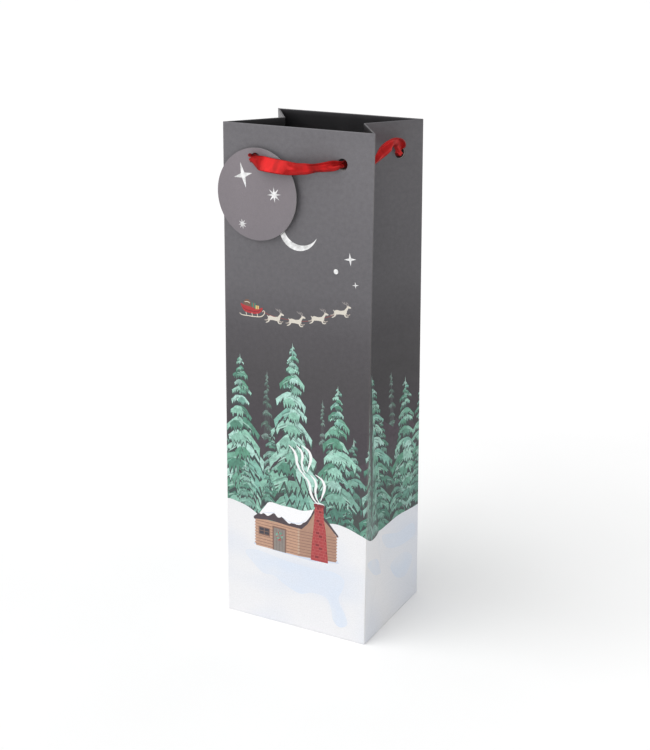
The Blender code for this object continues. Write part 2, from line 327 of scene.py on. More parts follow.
def paint(outline, colour, brush=0.0, foil=False):
    """Lay a shape over the print so far. Its long sides get points, so that they can bend."""
    points = []
    for start, end in zip(outline, outline[1:] + outline[:1]):
        points += [Vector(p) for p in dotted(start, end, 8.0)[:-1]]
    PRINT.append((points, colour, brush, foil))


SHEET_LEFT, SHEET_RIGHT = -147.5, 257.5     # the print runs a little past the sheet's edges
SHEET_TOP = 1000 * (RIM_END + HEM_DROP) + 1
CORNERS = (-145.0, -56.0, 56.0, 145.0)      # the corner creases
BACK_MIDDLE = 201                           # the middle of the back panel
GUSSET_SHADE_EDGE = 55.2                            # where the painted shade on the gussets' sky starts to come in

# The sky's colour at heights up the sheet, lighter towards the top partly as a painted sheen, and near
# black on the hem inside the mouth partly as painted shade; then the pines' and the snow's
SKY_STOPS_WITH_PAINTED_LIGHT = ((0, srgb(54, 48, 54)), (150, srgb(60, 54, 60)), (185, srgb(64, 61, 64)),
         (217, srgb(75, 72, 76)), (250, srgb(95, 93, 97)), (345, srgb(105, 103, 107)),
         (355.2, srgb(103, 101, 105)), (356.2, srgb(44, 42, 46)), (360, srgb(28, 27, 30)),
         (420, srgb(28, 27, 30)))
GREENS = (srgb(160, 206, 190), srgb(138, 190, 170), srgb(168, 210, 198), srgb(112, 168, 146),
          srgb(92, 150, 126), srgb(128, 182, 166), srgb(148, 198, 180), srgb(82, 136, 116))
DEEP = (srgb(58, 84, 78), srgb(50, 70, 68), srgb(66, 96, 86), srgb(62, 56, 64))
GAP_TINT = srgb(60, 50, 58)
TEAL = srgb(62, 112, 98)
MINT = srgb(184, 220, 208)
SNOW = srgb(233, 233, 235)
SNOW_SHADE = srgb(206, 216, 233)


def sky_with_painted_light(u, v):
    """The sky's colour, which darkens downwards, its lighter top partly a painted sheen; on the gussets it
    is darkened as painted shade.
    """
    tone = SKY_STOPS_WITH_PAINTED_LIGHT[0][1]
    for (low, a), (high, b) in zip(SKY_STOPS_WITH_PAINTED_LIGHT, SKY_STOPS_WITH_PAINTED_LIGHT[1:]):
        if v >= low:
            tone = mix(a, b, (v - low) / (high - low))
    cloud = noise.noise(Vector((u * 0.018, v * 0.014, 3.1)))
    # painted shade: the sky on the gussets is made about a quarter darker
    side = min(1.0, max(0.0, (min(abs(u), abs(u - BACK_MIDDLE)) - GUSSET_SHADE_EDGE) / 0.8))
    return scaled(tone, (1 + 0.10 * cloud) * (1 - 0.24 * side))


def washed(u, v):
    """A thin blue wash over the snow, uneven like watercolour."""
    pool = 0.62 + 0.5 * noise.noise(Vector((u * 0.07, v * 0.09, 6.0)))
    return mix(snow(u, v), srgb(216, 225, 238), pool)


def blob(u, v, x, y, wide, tall):
    """1 at (x, y), fading out over a soft oval."""
    return math.exp(-((u - x) / wide) ** 2 - ((v - y) / tall) ** 2)


def snow(u, v):
    """White with soft blue washes under the cabin and in the hollows, and bluer towards the sides."""
    wash = 0.55 * blob(u, v, 6, 47, 40, 7) + 0.5 * blob(u, v, 22, 36, 30, 8)
    along = (Vector((u, v)) - Vector((27, 36))).dot(Vector((0.45, -0.89)))
    across = abs((u - 27) * 0.89 + (v - 36) * 0.45)
    if 0 < along < 30:
        wash += 0.6 * math.exp(-(across / 4.0) ** 2) * math.sin(math.pi * along / 30)
    wash += 0.45 * max(0.0, noise.noise(Vector((u * 0.022, v * 0.045, 9.0))))
    # bluer towards the sides and the back
    wash += 0.35 * min(1.0, max(0.0, (abs(u) - 90) / 40))
    return mix(SNOW, SNOW_SHADE, wash)


def canopy(u):
    """Height up to which the forest is closed."""
    wave = 7 * math.sin(u * 0.071 + 0.8) + 5 * math.sin(u * 0.19 + 2.0)
    return 152 + wave - 8 * math.exp(-((u - 22) / 14) ** 2)


SNOW_LINE = ((-147.5, 77), (-135, 75), (-118, 78), (-100.5, 70), (-84, 74), (-68, 84), (-56, 88),
             (-47, 87.2), (-40, 85.6), (-33, 82.4), (-28, 79), (-20, 76), (0, 76), (20, 81),
             (27, 85.8), (34, 86.6), (42, 85.2), (50, 82.6), (56, 80.4), (72, 72), (88, 67.5),
             (100.5, 66.5), (110, 68.6), (122, 71.5), (134, 72.4), (145, 73.6), (160, 80),
             (178, 86), (196, 84), (214, 77), (232, 80), (246, 85), (257.5, 80))


def bough(root, length, drop, side, teeth, rng):
    """A drooping branch with a ragged lower edge of uneven fingers."""
    thick = length * rng.uniform(0.34, 0.50) + 0.9

    def top(t):
        t = max(0.0, t)
        lift = 0.16 * length * math.sin(math.pi * min(1.0, t * 1.15))
        return Vector((root.x + side * length * t, root.y + lift - drop * t ** 1.7))

    upper = [top(t) for t in (0.0, 0.2, 0.42, 0.64, 0.84)]
    upper[3].y += rng.uniform(-0.05, 0.07) * length
    tip = top(1.0) + Vector((side * 0.06, -0.10)) * length
    lower = [tip]
    for k in range(teeth):
        t = 1 - (k + 0.6 + rng.uniform(-0.2, 0.2)) / teeth
        body = (1.25 - 0.55 * t) * thick
        lower.append(top(t + 0.08) + Vector((side * 0.05 * length, -body * rng.uniform(0.8, 1.5))))
        lower.append(top(t - 0.05) + Vector((0, -body * rng.uniform(0.45, 0.8))))
    lower.append(Vector((root.x, root.y - 1.0 * thick)))
    return upper + lower


def skirt(u, v, wide, tall, rng):
    """The branches that come towards us, between a tier's two sides."""
    top = [Vector((u - wide * 0.5, v - 0.25 * tall)), Vector((u - wide * 0.2, v + 0.3 * tall)),
           Vector((u + wide * 0.15, v + 0.35 * tall)), Vector((u + wide * 0.5, v - 0.2 * tall))]
    low = []
    teeth = 5
    for k in range(teeth):
        x = u + wide * (0.5 - (k + 0.3) / teeth)
        low.append(Vector((x + rng.uniform(-0.06, 0.06) * wide, v - tall * rng.uniform(0.7, 1.35))))
        low.append(Vector((x - 0.11 * wide, v - tall * rng.uniform(0.3, 0.55))))
    return top + low


def flecks(root, length, drop, side, colour, rng, count=2):
    """Thin light strokes that follow a branch."""
    for k in range(count):
        t0 = rng.uniform(0.05, 0.45)
        t1 = t0 + rng.uniform(0.3, 0.5)
        fall = rng.uniform(0.02, 0.34) * length
        line = []
        for t in (t0, (t0 + t1) / 2, t1):
            line.append((root.x + side * length * t, root.y - drop * t ** 1.7 - fall * (0.4 + t)))
        paint(stroke(line, (0.15, 0.05 * length + 0.3, 0.1), 3), colour, 0.6)


def leaf_tone(u, v, rng, shade):
    """A branch's green: light up high, teal and dark low down, above all to the right."""
    low = 0.34 * min(1.0, max(0.0, (135 - v) / 45)) + 0.5 * blob(u, v, 42, 98, 20, 20)
    cloud = 0.30 * noise.noise(Vector((u * 0.08, v * 0.07, 4.0)))
    return mix(rng.choice(GREENS), TEAL, min(0.92, max(0.0, low + cloud + shade + rng.uniform(-0.15, 0.2))))


def fir(u, top, base, reach, rng, fade=0.0, shade=0.0):
    """A fir with ragged overlapping tiers of branches, light on top and dark beneath."""
    far = srgb(76, 76, 78)
    tiers = []
    y, gap = top - 3.2, 2.8
    while y > base:
        tiers.append(y)
        y -= gap
        gap = min(gap * 1.19, 9.2)
    low_half = reach * 0.55
    body = [(u, top - 2), (u + low_half * 0.4, (top + base) / 2), (u + low_half, base),
            (u - low_half, base), (u - low_half * 0.4, (top + base) / 2)]
    paint(body, mix(mix(DEEP[1], GAP_TINT, 0.5), far, fade), 0.7)
    for y in reversed(tiers):
        grown = ((top - y) / (top - base)) ** 0.72
        wide = max(1.4, reach * grown)
        for side in rng.sample((-1, 1), 2):
            length = wide * rng.uniform(0.62, 1.14)
            drop = length * rng.uniform(0.18, 0.62)
            root = Vector((u - side * 0.14 * length, y + rng.uniform(-1.6, 1.6)))
            teeth = 3 if length < 5 else rng.choice((4, 5))
            shape = bough(root, length, drop, side, teeth, rng)
            dark = mix(mix(rng.choice(DEEP), GAP_TINT, rng.uniform(0.1, 0.6)), far, fade)
            paint([p + Vector((0.35 * side, -0.11 * length - 0.5)) for p in shape], dark, 0.8)
            light = mix(leaf_tone(root.x, y, rng, shade), far, fade)
            paint(shape, light, 1.0)
            flecks(root, length, drop, side, mix(light, MINT, 0.5 * (1 - fade) * (1 - shade)), rng,
                   1 if length < 5 else 2)
            if length > 6:
                flecks(root, length, drop, side, mix(light, DEEP[0], 0.55), rng, 2)
        if wide > 4:
            x = u + rng.uniform(-0.25, 0.25) * wide
            shape = skirt(x, y - 0.24 * wide, wide * rng.uniform(0.55, 0.8), 0.34 * wide, rng)
            paint([p + Vector((0.2, -0.06 * wide - 0.4)) for p in shape],
                  mix(mix(rng.choice(DEEP), GAP_TINT, 0.3), far, fade), 0.8)
            paint(shape, mix(leaf_tone(x, y, rng, shade + 0.1), far, fade), 1.0)
    spike = [(u - 0.55, top - 6), (u, top), (u + 0.6, top - 6)]
    paint(spike, mix(MINT, far, 0.25 + 0.75 * fade), 0.5)


TREES = ((-44, 198, 30), (-2.6, 211.7, 33), (32.2, 186.8, 27), (62, 172, 18), (100.5, 183, 23),
         (131, 176, 22), (146, 168, 18), (-100.5, 194, 26), (-134, 176, 22), (-72, 188, 23),
         (170, 200, 28), (196, 182, 24), (222, 206, 30), (247, 186, 26))
FAR_TREES = ((-22.5, 189, 8), (20.8, 175.4, 5), (-60, 176, 6), (118, 182, 7), (-118, 182, 8),
             (-86, 178, 7), (158, 178, 8), (183, 186, 8), (209, 178, 7), (235, 180, 8))


def forest():
    """Far trees, the dark between them, the tall trees, and small ones that close the wood."""
    rng = random.Random(11)
    for u, top, reach in FAR_TREES:
        fir(u, top, 124, reach, rng, 0.66)
    edge = [(u, canopy(u) - 6 + rng.uniform(-5, 3)) for u in range(-148, 259, 3)]
    paint([(-147.2, 58)] + edge + [(257.2, 58)], forest_floor, 0.6)
    for k in range(20):
        u = -140 + 20.6 * k + rng.uniform(-3, 3)
        fir(u, rng.uniform(138, 154), 98, rng.uniform(13, 17), rng, 0.12, 0.35)
    for u, top, reach in TREES:
        fir(u, top, 82, reach, rng)
    for k in range(20):
        u = -140 + 20.4 * k + rng.uniform(-4, 4)
        top = rng.uniform(104, 122)
        if abs(u - 2) < 22:
            continue
        fir(u, top, 72, rng.uniform(12, 16), rng, 0.0, 0.2)


def forest_floor(u, v):
    """The dark between the branches: plum high up and bottle green lower down."""
    return mix(srgb(60, 70, 66), srgb(68, 56, 66), (v - 80) / 60)


def ground():
    """The snow, with its hollows and drifts washed in."""
    line = curve(SNOW_LINE, 5)
    paint([(SHEET_LEFT, -3)] + [(p.x, p.y) for p in line] + [(SHEET_RIGHT, -3)], snow, 0.04)
    hollow = [(-41, 50), (-30, 53), (-8, 50), (14, 49), (30, 50), (39, 46), (38, 38), (35, 30),
              (40, 20), (42, 12), (36, 8.6), (31, 13), (29, 22), (25, 29), (14, 30), (4, 27),
              (-8, 31), (-17, 36), (-26, 36), (-34, 42)]
    paint(curve(hollow, 5, True), washed, 0.05)
    for shape in ([(60, 60), (78, 55), (92, 48), (97, 36), (84, 40), (70, 50)],
                  [(104, 62), (122, 58), (138, 60), (141, 50), (124, 47), (108, 51)],
                  [(112, 36), (128, 40), (138, 32), (130, 20), (117, 24)],
                  [(160, 62), (190, 66), (222, 60), (240, 50), (214, 44), (184, 50)],
                  [(-132, 58), (-108, 56), (-92, 60), (-84, 48), (-104, 40), (-126, 46)]):
        paint(curve(shape, 5, True), washed, 0.05)


def cabin():
    """A log cabin with snow on its roof, seen a little from its gable end."""
    log = srgb(190, 150, 126)
    log_dark = srgb(122, 90, 78)
    gable_log = srgb(172, 134, 114)
    roof_under = srgb(74, 62, 68)
    rng = random.Random(5)
    paint([(-34, 57.2), (-10, 55.4), (14, 54.4), (35, 57.4), (33, 60), (-32, 60)],
          srgb(206, 214, 230), 0.1)
    paint([(-32.3, 78.2), (4.2, 77.8), (2.3, 55.9), (-31.9, 56.7)], log, 0.25)
    paint([(4.2, 79), (14.6, 94), (24.5, 88), (32.8, 77.2), (32.6, 57.9), (2.3, 55.9)],
          gable_log, 0.25)
    courses = 9
    for k in range(courses):
        v = 57.6 + k * 2.25
        sway = rng.uniform(-0.25, 0.25)
        paint(stroke([(-32.2, v + 0.5), (-15, v + sway), (2.6, v - 0.3)], (0.3, 0.45, 0.3), 4),
              log_dark, 0.2)
        paint(stroke([(2.8, v - 0.3), (18, v + 0.3), (32.6, v + 1.0)], (0.3, 0.42, 0.3), 4),
              log_dark, 0.2)
        paint(circle(2.9 - 0.02 * k, v + 0.9, 0.85, 10), mix(log, MINT, 0.15), 0.2)
        paint(circle(-32.2, v + 1.3, 0.75, 8), log, 0.2)
        paint(circle(32.6, v + 1.9, 0.75, 8), gable_log, 0.2)
    under = [(-33.8, 78.6), (-28.9, 82.5), (-20, 84.6), (-6, 82.5), (4.6, 80.6), (9.6, 84.6),
             (14.8, 93.6), (15.4, 92), (10, 82), (5.2, 77.0), (-6, 77.3), (-20, 78.4), (-33.6, 76.8)]
    paint(under, roof_under, 0.3)
    paint([(14.6, 94.6), (15.4, 92.6), (24.2, 86.2), (34, 76.6), (34.2, 78.2), (24.6, 88.6)],
          roof_under, 0.3)
    top = [(-29.2, 81.8), (-25.2, 87.2), (-20.6, 92.2), (-11, 91.6), (-2.6, 91.6), (6, 91.2),
           (14.6, 93.8)]
    hang = [(12.2, 88.4), (8.7, 83.6), (6.2, 82.0), (4.4, 80.2), (1.2, 79.6), (-2.2, 80.4),
            (-4.8, 79.0), (-8, 81.0), (-10.6, 83.0), (-12.4, 82.0), (-14.4, 82.0), (-17, 84.4),
            (-19.8, 82.6), (-22.4, 81.2), (-25.4, 82.6), (-27.6, 81.4)]
    paint(curve(top, 4) + curve(hang, 3), srgb(244, 244, 246), 0.03)
    paint(stroke([(-27, 82.9), (-20, 84.0), (-16, 85.2)], (0.2, 0.9, 0.2), 3),
          srgb(222, 228, 240), 0.05)
    paint(stroke([(-12, 83.6), (-4, 80.4), (4, 81.4), (9, 85)], (0.2, 0.9, 0.8, 0.2), 4),
          srgb(222, 228, 240), 0.05)
    window_and_door()
    chimney()


def window_and_door():
    """On the cabin's long side; a wreath hangs on the door."""
    frame_tone = srgb(126, 96, 84)
    glass = srgb(58, 56, 66)
    paint([(-29.8, 72.2), (-20.4, 71.8), (-20.4, 65.4), (-29.8, 65.8)], frame_tone, 0.2)
    for x in (-29.0, -24.8):
        for y in (66.6, 69.2):
            paint([(x, y), (x + 3.6, y - 0.1), (x + 3.6, y + 2.0), (x, y + 2.1)], glass, 0.3)
    paint([(-18.4, 74.6), (-7.0, 74.2), (-7.2, 55.9), (-18.2, 56.2)], frame_tone, 0.2)
    paint([(-17.2, 73.4), (-8.2, 73.1), (-8.3, 56.0), (-17.1, 56.2)], srgb(136, 128, 122), 0.3)
    for k in range(1, 4):
        x = -17.2 + 2.25 * k
        paint(stroke([(x, 73), (x + 0.05, 65), (x, 56.4)], (0.22, 0.3, 0.22), 2),
              srgb(104, 96, 94), 0.2)
    rng = random.Random(8)
    for k in range(16):
        a = 2 * math.pi * k / 16
        place = vec(-12.7 + 2.3 * math.cos(a), 68.0 + 2.3 * math.sin(a))
        tone = srgb(176, 52, 56) if k % 4 == 1 else rng.choice(GREENS[3:5])
        paint(circle(place.x, place.y, 0.62, 7), tone, 0.4)
    paint([(-12.7, 65.9), (-14.2, 63.9), (-12.7, 64.7), (-11.2, 63.9)], srgb(176, 46, 50), 0.2)


def chimney():
    """A brick stack in front of the gable, with snow on top."""
    brick = srgb(168, 58, 60)
    mortar = srgb(186, 96, 94)
    deep = srgb(128, 38, 44)
    body = [(15.5, 96.4), (22.2, 96.6), (22.8, 87), (24.2, 80), (25.2, 68), (26.4, 55.6),
            (12.6, 55.4), (13.4, 68), (14.6, 80), (15.2, 88)]
    paint(body, brick, 0.35)
    paint([(14.6, 98.4), (23.0, 98.6), (22.8, 96.2), (14.9, 96.0)], deep, 0.3)
    paint(stroke([(14.8, 98.9), (19, 99.4), (22.9, 98.9)], (0.5, 1.1, 0.5), 3), SNOW, 0.0)
    rows = 17
    for k in range(rows):
        v = 57.4 + k * 2.3
        grow = (v - 55.5) / 41
        left = 12.9 + 2.6 * grow
        right = 26.2 - 4.0 * grow
        paint(stroke([(left, v), ((left + right) / 2, v + 0.15), (right, v)], (0.2, 0.28, 0.2), 2),
              mortar, 0.1)
        bricks = 3
        for j in range(bricks):
            x = left + (right - left) * (j + (0.25 if k % 2 else 0.6)) / bricks
            paint([(x, v), (x + 0.25, v), (x + 0.25, v + 2.2), (x, v + 2.2)], mortar, 0.1)
            if (j + k) % 4 == 0:
                end = min(x + 3.0, right - 0.4)
                paint([(x + 0.4, v + 0.3), (end, v + 0.3), (end, v + 1.9), (x + 0.4, v + 1.9)],
                      deep, 0.2)


def smoke():
    """Two stacked groups of three curls above the chimney."""
    white = srgb(242, 243, 243)
    for dx, dy in ((0.0, 0.0), (-10.8, 19.4)):
        curls = (([(18.4, 98.4), (14.6, 101.5), (12.2, 106), (11.4, 111), (9.6, 115), (5.4, 118.6)],
                  (0.3, 1.4, 2.0, 2.3, 1.6, 0.3)),
                 ([(19.0, 99.6), (16.6, 103), (15.8, 108), (16.4, 112), (15.2, 116), (11.6, 119.2)],
                  (0.3, 1.1, 1.7, 2.1, 1.6, 0.3)),
                 ([(20.0, 101.2), (21.2, 105), (22.6, 109.5), (22.8, 113.5), (20.6, 117.4),
                   (15.6, 120)], (0.3, 1.2, 2.0, 2.2, 1.5, 0.3)))
        for points, widths in curls:
            paint(stroke([(x + dx, y + dy) for x, y in points], widths, 6), white, 0.05)


def deer(x, y, size=1.0, kick=0.0):
    """A leaping deer, nose to the right."""
    coat = srgb(214, 208, 196)
    shade = srgb(176, 166, 156)
    horn = srgb(150, 144, 142)

    def at(points):
        return [(x + size * px, y + size * (py + kick * px * 0.05)) for px, py in points]

    for line, widths in (([(-4.2, -0.2), (-6.0, -1.6), (-8.0, -1.9)], (1.5, 0.8, 0.45)),
                 ([(3.4, -0.6), (5.6, -1.9), (7.4, -1.2)], (1.3, 0.7, 0.45))):
        paint(stroke(at(line), [size * w for w in widths], 4), shade, 0.1)
    body = [(-4.9, 1.0), (-3.2, 1.9), (0.0, 1.3), (3.0, 1.7), (4.6, 1.3), (4.6, -0.5), (2.6, -1.5),
            (-0.6, -1.2), (-3.2, -1.3), (-5.0, -0.4)]
    paint(curve(at(body), 4, True), coat, 0.1)
    for line, widths in (([(-4.0, -0.6), (-4.8, -2.6), (-6.9, -3.6)], (1.9, 0.9, 0.5)),
                 ([(3.0, -1.0), (4.0, -3.0), (6.2, -2.9)], (1.5, 0.8, 0.5))):
        paint(stroke(at(line), [size * w for w in widths], 4), coat, 0.1)
    paint(stroke(at([(3.4, 0.6), (4.6, 2.4), (5.7, 4.0)]), (2.4 * size, 1.6 * size, 1.2 * size), 4),
          coat, 0.1)
    paint(curve(at([(5.0, 4.2), (6.0, 4.7), (7.4, 4.1), (8.1, 3.5), (7.6, 3.0), (6.2, 3.1)]), 3,
                True), coat, 0.1)
    paint(stroke(at([(5.3, 4.4), (4.6, 5.3)]), (0.9 * size, 0.2 * size), 2), coat, 0.1)
    paint(stroke(at([(-4.9, 0.9), (-5.8, 1.9)]), (0.9 * size, 0.3 * size), 2), coat, 0.1)
    for tips in ([(5.4, 4.6), (4.2, 5.9), (2.6, 6.3), (1.2, 7.6)], [(4.3, 5.8), (4.2, 7.4)],
                 [(3.0, 6.2), (2.9, 7.6)], [(5.8, 4.7), (5.6, 6.2), (4.6, 7.2)]):
        paint(stroke(at(tips), (0.5 * size, 0.34 * size), 3), horn, 0.0)


def sleigh(x, y):
    """A small open sleigh with parcels and no rider."""
    red = srgb(176, 40, 46)
    dark = srgb(120, 26, 34)
    pale = srgb(222, 214, 196)

    def at(points):
        return [(x + px, y + py) for px, py in points]

    sack = at([(-5.6, 4.0), (-6.4, 7.2), (-4.4, 9.6), (-1.6, 9.2), (-0.4, 6.4), (-1.0, 4.0)])
    paint(curve(sack, 4, True), srgb(112, 84, 70), 0.3)
    paint(stroke(at([(-5.4, 7.6), (-3.2, 8.0), (-1.2, 7.2)]), (0.4, 0.5, 0.4), 3), pale, 0.0)
    parcels = (((0.2, 4.2), 3.0, 3.4, srgb(66, 124, 104)), ((3.2, 3.6), 2.6, 2.6, srgb(216, 188, 118)))
    for (px, py), wide, tall, tone in parcels:
        box = [(px, py), (px + wide, py), (px + wide, py + tall), (px, py + tall)]
        paint(at(box), tone, 0.2)
        paint(at([(px + wide * 0.42, py), (px + wide * 0.58, py), (px + wide * 0.58, py + tall),
                  (px + wide * 0.42, py + tall)]), red, 0.0)
    hull = [(-8.6, 6.4), (-7.4, 3.4), (-5.2, 1.0), (-1.0, 0.2), (3.6, 0.2), (6.8, 1.6), (8.8, 4.6),
            (7.6, 5.0), (5.6, 3.8), (2.8, 3.6), (0.4, 4.6), (-3.0, 5.0), (-6.2, 5.6)]
    paint(curve(at(hull), 3, True), red, 0.25)
    paint(stroke(at([(-7.2, 4.2), (-4.6, 2.4), (0.0, 1.8), (4.4, 2.0), (7.2, 3.6)]),
                 (0.3, 0.55, 0.55, 0.45, 0.3), 4), dark, 0.0)
    for px in (-4.4, 0.2, 4.4):
        paint(stroke(at([(px, 0.6), (px + 0.5, -1.4)]), (0.45, 0.45), 2), pale, 0.0)
    runner = [(-9.4, -0.6), (-7.6, -1.7), (-3.0, -1.8), (3.0, -1.7), (7.4, -1.1), (9.8, 0.8),
              (10.2, 2.6), (9.2, 3.2), (8.6, 2.2)]
    paint(stroke(at(runner), (0.35, 0.6, 0.6, 0.6, 0.6, 0.5, 0.3), 5), pale, 0.0)


def heavens():
    """The foil moon and stars, and the sleigh that crosses under them."""
    paint(crescent(1.5, 289.3, 14.4, Vector((2.2, 3.4)), 14.0), SNOW, foil=True)
    for u, v, reach in ((39.7, 273.5, 4.4), (43.8, 256.9, 2.3), (170, 290, 4.6), (196, 262, 2.8),
                        (214, 306, 3.4), (236, 276, 2.4), (162, 248, 2.2), (228, 240, 3.8)):
        paint(star(u, v, reach, 4, 0.12, 0.26), SNOW, foil=True)
    for u, v, radius in ((29.5, 264.3, 1.7), (184, 316, 1.2), (204, 232, 0.9), (246, 300, 1.0)):
        paint(circle(u, v, radius, 16), SNOW, foil=True)
    rein = [(-27.5, 230.6), (-19, 228.2), (-8, 227.2), (4, 227.4), (15, 229.8), (24, 233.2),
            (33, 237.4)]
    paint(stroke(rein, (0.35, 0.3, 0.3, 0.3, 0.35), 6), srgb(150, 60, 56), 0.0)
    sleigh(-34.5, 227.5)
    for u, v, kick in ((-16.8, 226.4, 0.2), (-0.4, 226.6, 0.5), (16.8, 230.8, 1.6), (33.4, 237.4, 2.4)):
        deer(u, v, 0.94, kick)


def worn(colour, u, v):
    """The print rubs off a little along the folded corners, mostly low down."""
    near = min(abs(u - c) for c in CORNERS)
    if near > 2.0:
        return colour
    patch = 0.5 + 0.5 * noise.noise(Vector((u * 0.4, v * 0.09, 5.0)))
    low = 0.25 + 0.75 * min(1.0, max(0.0, (170 - v) / 90))
    return mix(colour, srgb(196, 190, 182), 0.55 * patch * low * math.exp(-(near / 0.6) ** 2))


def lay_print():
    """The whole print, from the sky forwards."""
    sheet = [(SHEET_LEFT, -3), (SHEET_RIGHT, -3), (SHEET_RIGHT, SHEET_TOP), (SHEET_LEFT, SHEET_TOP)]
    paint(sheet, sky_with_painted_light, 0.30)
    forest()
    ground()
    cabin()
    smoke()
    heavens()


# ---- materials -----------------------------------------------------------------------------

class Nodes:
    """A short way to write a material's node tree."""

    def __init__(self, name):
        self.material = bpy.data.materials.new(name)
        self.material.use_nodes = True
        self.tree = self.material.node_tree
        self.shader = self.tree.nodes["Principled BSDF"]

    def add(self, kind, inputs=None, **settings):
        node = self.tree.nodes.new("ShaderNode" + kind)
        for key, value in settings.items():
            setattr(node, key, value)
        for key, value in (inputs or {}).items():
            self.link(value, node.inputs[key])
        return node

    def link(self, value, socket):
        if isinstance(value, bpy.types.NodeSocket):
            self.tree.links.new(value, socket)
        else:
            socket.default_value = value

    def set(self, **values):
        for key, value in values.items():
            self.link(value, self.shader.inputs[key.replace("_", " ")])

    def maths(self, operation, *values):
        node = self.add("Math", operation=operation)
        for socket, value in zip(node.inputs, values):
            self.link(value, socket)
        return node.outputs[0]

    def noise(self, where, scale, detail=3.0, roughness=0.55):
        node = self.add("TexNoise", {"Vector": where, "Scale": scale, "Detail": detail,
                                     "Roughness": roughness})
        return node.outputs["Fac"]

    def flat(self):
        return self.add("UVMap", uv_map="flat").outputs["UV"]

    def stretched(self, where, x, y):
        return self.add("Mapping", {"Vector": where, "Scale": (x, y, 1.0)}).outputs[0]

    def scaled(self, colour, factor):
        node = self.add("VectorMath", operation="SCALE")
        self.link(colour, node.inputs[0])
        self.link(factor, node.inputs["Scale"])
        return node.outputs[0]

    def ramp(self, value, low, high, a, b):
        node = self.add("MapRange", {"Value": value, "From Min": low, "From Max": high,
                                     "To Min": a, "To Max": b})
        return node.outputs[0]

    def vary(self, value, a, b):
        """From a to b over the range that a noise mostly keeps to."""
        return self.ramp(value, 0.3, 0.7, a, b)

    def times(self, a, b):
        return self.maths("MULTIPLY", a, b)

    def bump(self, height, distance, strength=1.0):
        node = self.add("Bump", {"Height": height, "Distance": distance, "Strength": strength})
        self.link(node.outputs["Normal"], self.shader.inputs["Normal"])


def print_material():
    """Gouache-like printed ink under a matt film, on smooth paper."""
    mat = Nodes("printed_sheet")
    where = mat.flat()
    ink = mat.add("Attribute", attribute_name="ink", attribute_type="GEOMETRY")
    wet = mat.noise(where, 330.0, 4.0, 0.6)
    dry = mat.noise(mat.stretched(where, 1.0, 2.6), 900.0, 4.0, 0.65)
    mottle = mat.vary(wet, -0.30, 0.30)
    drag = mat.ramp(dry, 0.32, 0.68, -0.20, 0.20)
    work = mat.times(mat.maths("ADD", mottle, drag), ink.outputs["Alpha"])
    tooth = mat.vary(mat.noise(where, 1300.0, 4.0, 0.7), 0.93, 1.07)
    tone = mat.times(mat.maths("ADD", work, 1.0), tooth)
    mat.set(Base_Color=mat.scaled(ink.outputs["Color"], tone))
    mat.set(Roughness=mat.vary(mat.noise(where, 120.0, 3.0), 0.44, 0.56))
    mat.set(Coat_Weight=0.12, Coat_Roughness=0.38)
    mat.bump(mat.noise(where, 1500.0, 5.0, 0.6), 0.00002, 0.35)
    return mat.material


def foil_material():
    """Pressed silver foil, a little uneven."""
    mat = Nodes("silver_foil")
    where = mat.flat()
    cloud = mat.noise(where, 260.0, 3.0)
    tone = mat.ramp(cloud, 0.35, 0.65, 0.64, 0.98)
    mat.set(Base_Color=mat.add("CombineColor", {0: tone, 1: tone, 2: tone}).outputs[0])
    mat.set(Metallic=0.75, Roughness=mat.vary(cloud, 0.26, 0.38))
    mat.bump(mat.noise(where, 900.0, 4.0), 0.00002, 0.4)
    return mat.material


def lining_material():
    """The unprinted inside of the paper: off-white with faint fibres."""
    mat = Nodes("paper_lining")
    where = mat.flat()
    fibres = mat.noise(mat.stretched(where, 1.0, 3.5), 900.0, 5.0, 0.7)
    cloud = mat.noise(where, 90.0, 3.0)
    tone = mat.times(mat.vary(fibres, 0.94, 1.04), mat.vary(cloud, 0.96, 1.03))
    mat.set(Base_Color=mat.scaled((0.74, 0.72, 0.68), tone), Roughness=mat.vary(fibres, 0.84, 0.94))
    mat.bump(fibres, 0.00004, 0.5)
    return mat.material


def card_material():
    """Grey-white board, pressed from recycled fibre, for the base card and the flaps."""
    mat = Nodes("plain_board")
    where = mat.add("TexCoord").outputs["Object"]
    flecks_in = mat.noise(where, 1300.0, 6.0, 0.75)
    cloud = mat.noise(where, 70.0, 3.0)
    tone = mat.times(mat.vary(flecks_in, 0.90, 1.06), mat.vary(cloud, 0.95, 1.03))
    mat.set(Base_Color=mat.scaled((0.70, 0.68, 0.64), tone), Roughness=mat.vary(flecks_in, 0.82, 0.95))
    mat.bump(flecks_in, 0.00005, 0.6)
    return mat.material


def edge_material():
    """The paper's cut edge, where its pale core shows."""
    mat = Nodes("cut_edge")
    where = mat.add("TexCoord").outputs["Object"]
    grain = mat.noise(where, 2200.0, 4.0)
    mat.set(Base_Color=mat.scaled((0.42, 0.41, 0.41), mat.vary(grain, 0.8, 1.1)),
            Roughness=mat.vary(grain, 0.8, 0.95))
    return mat.material


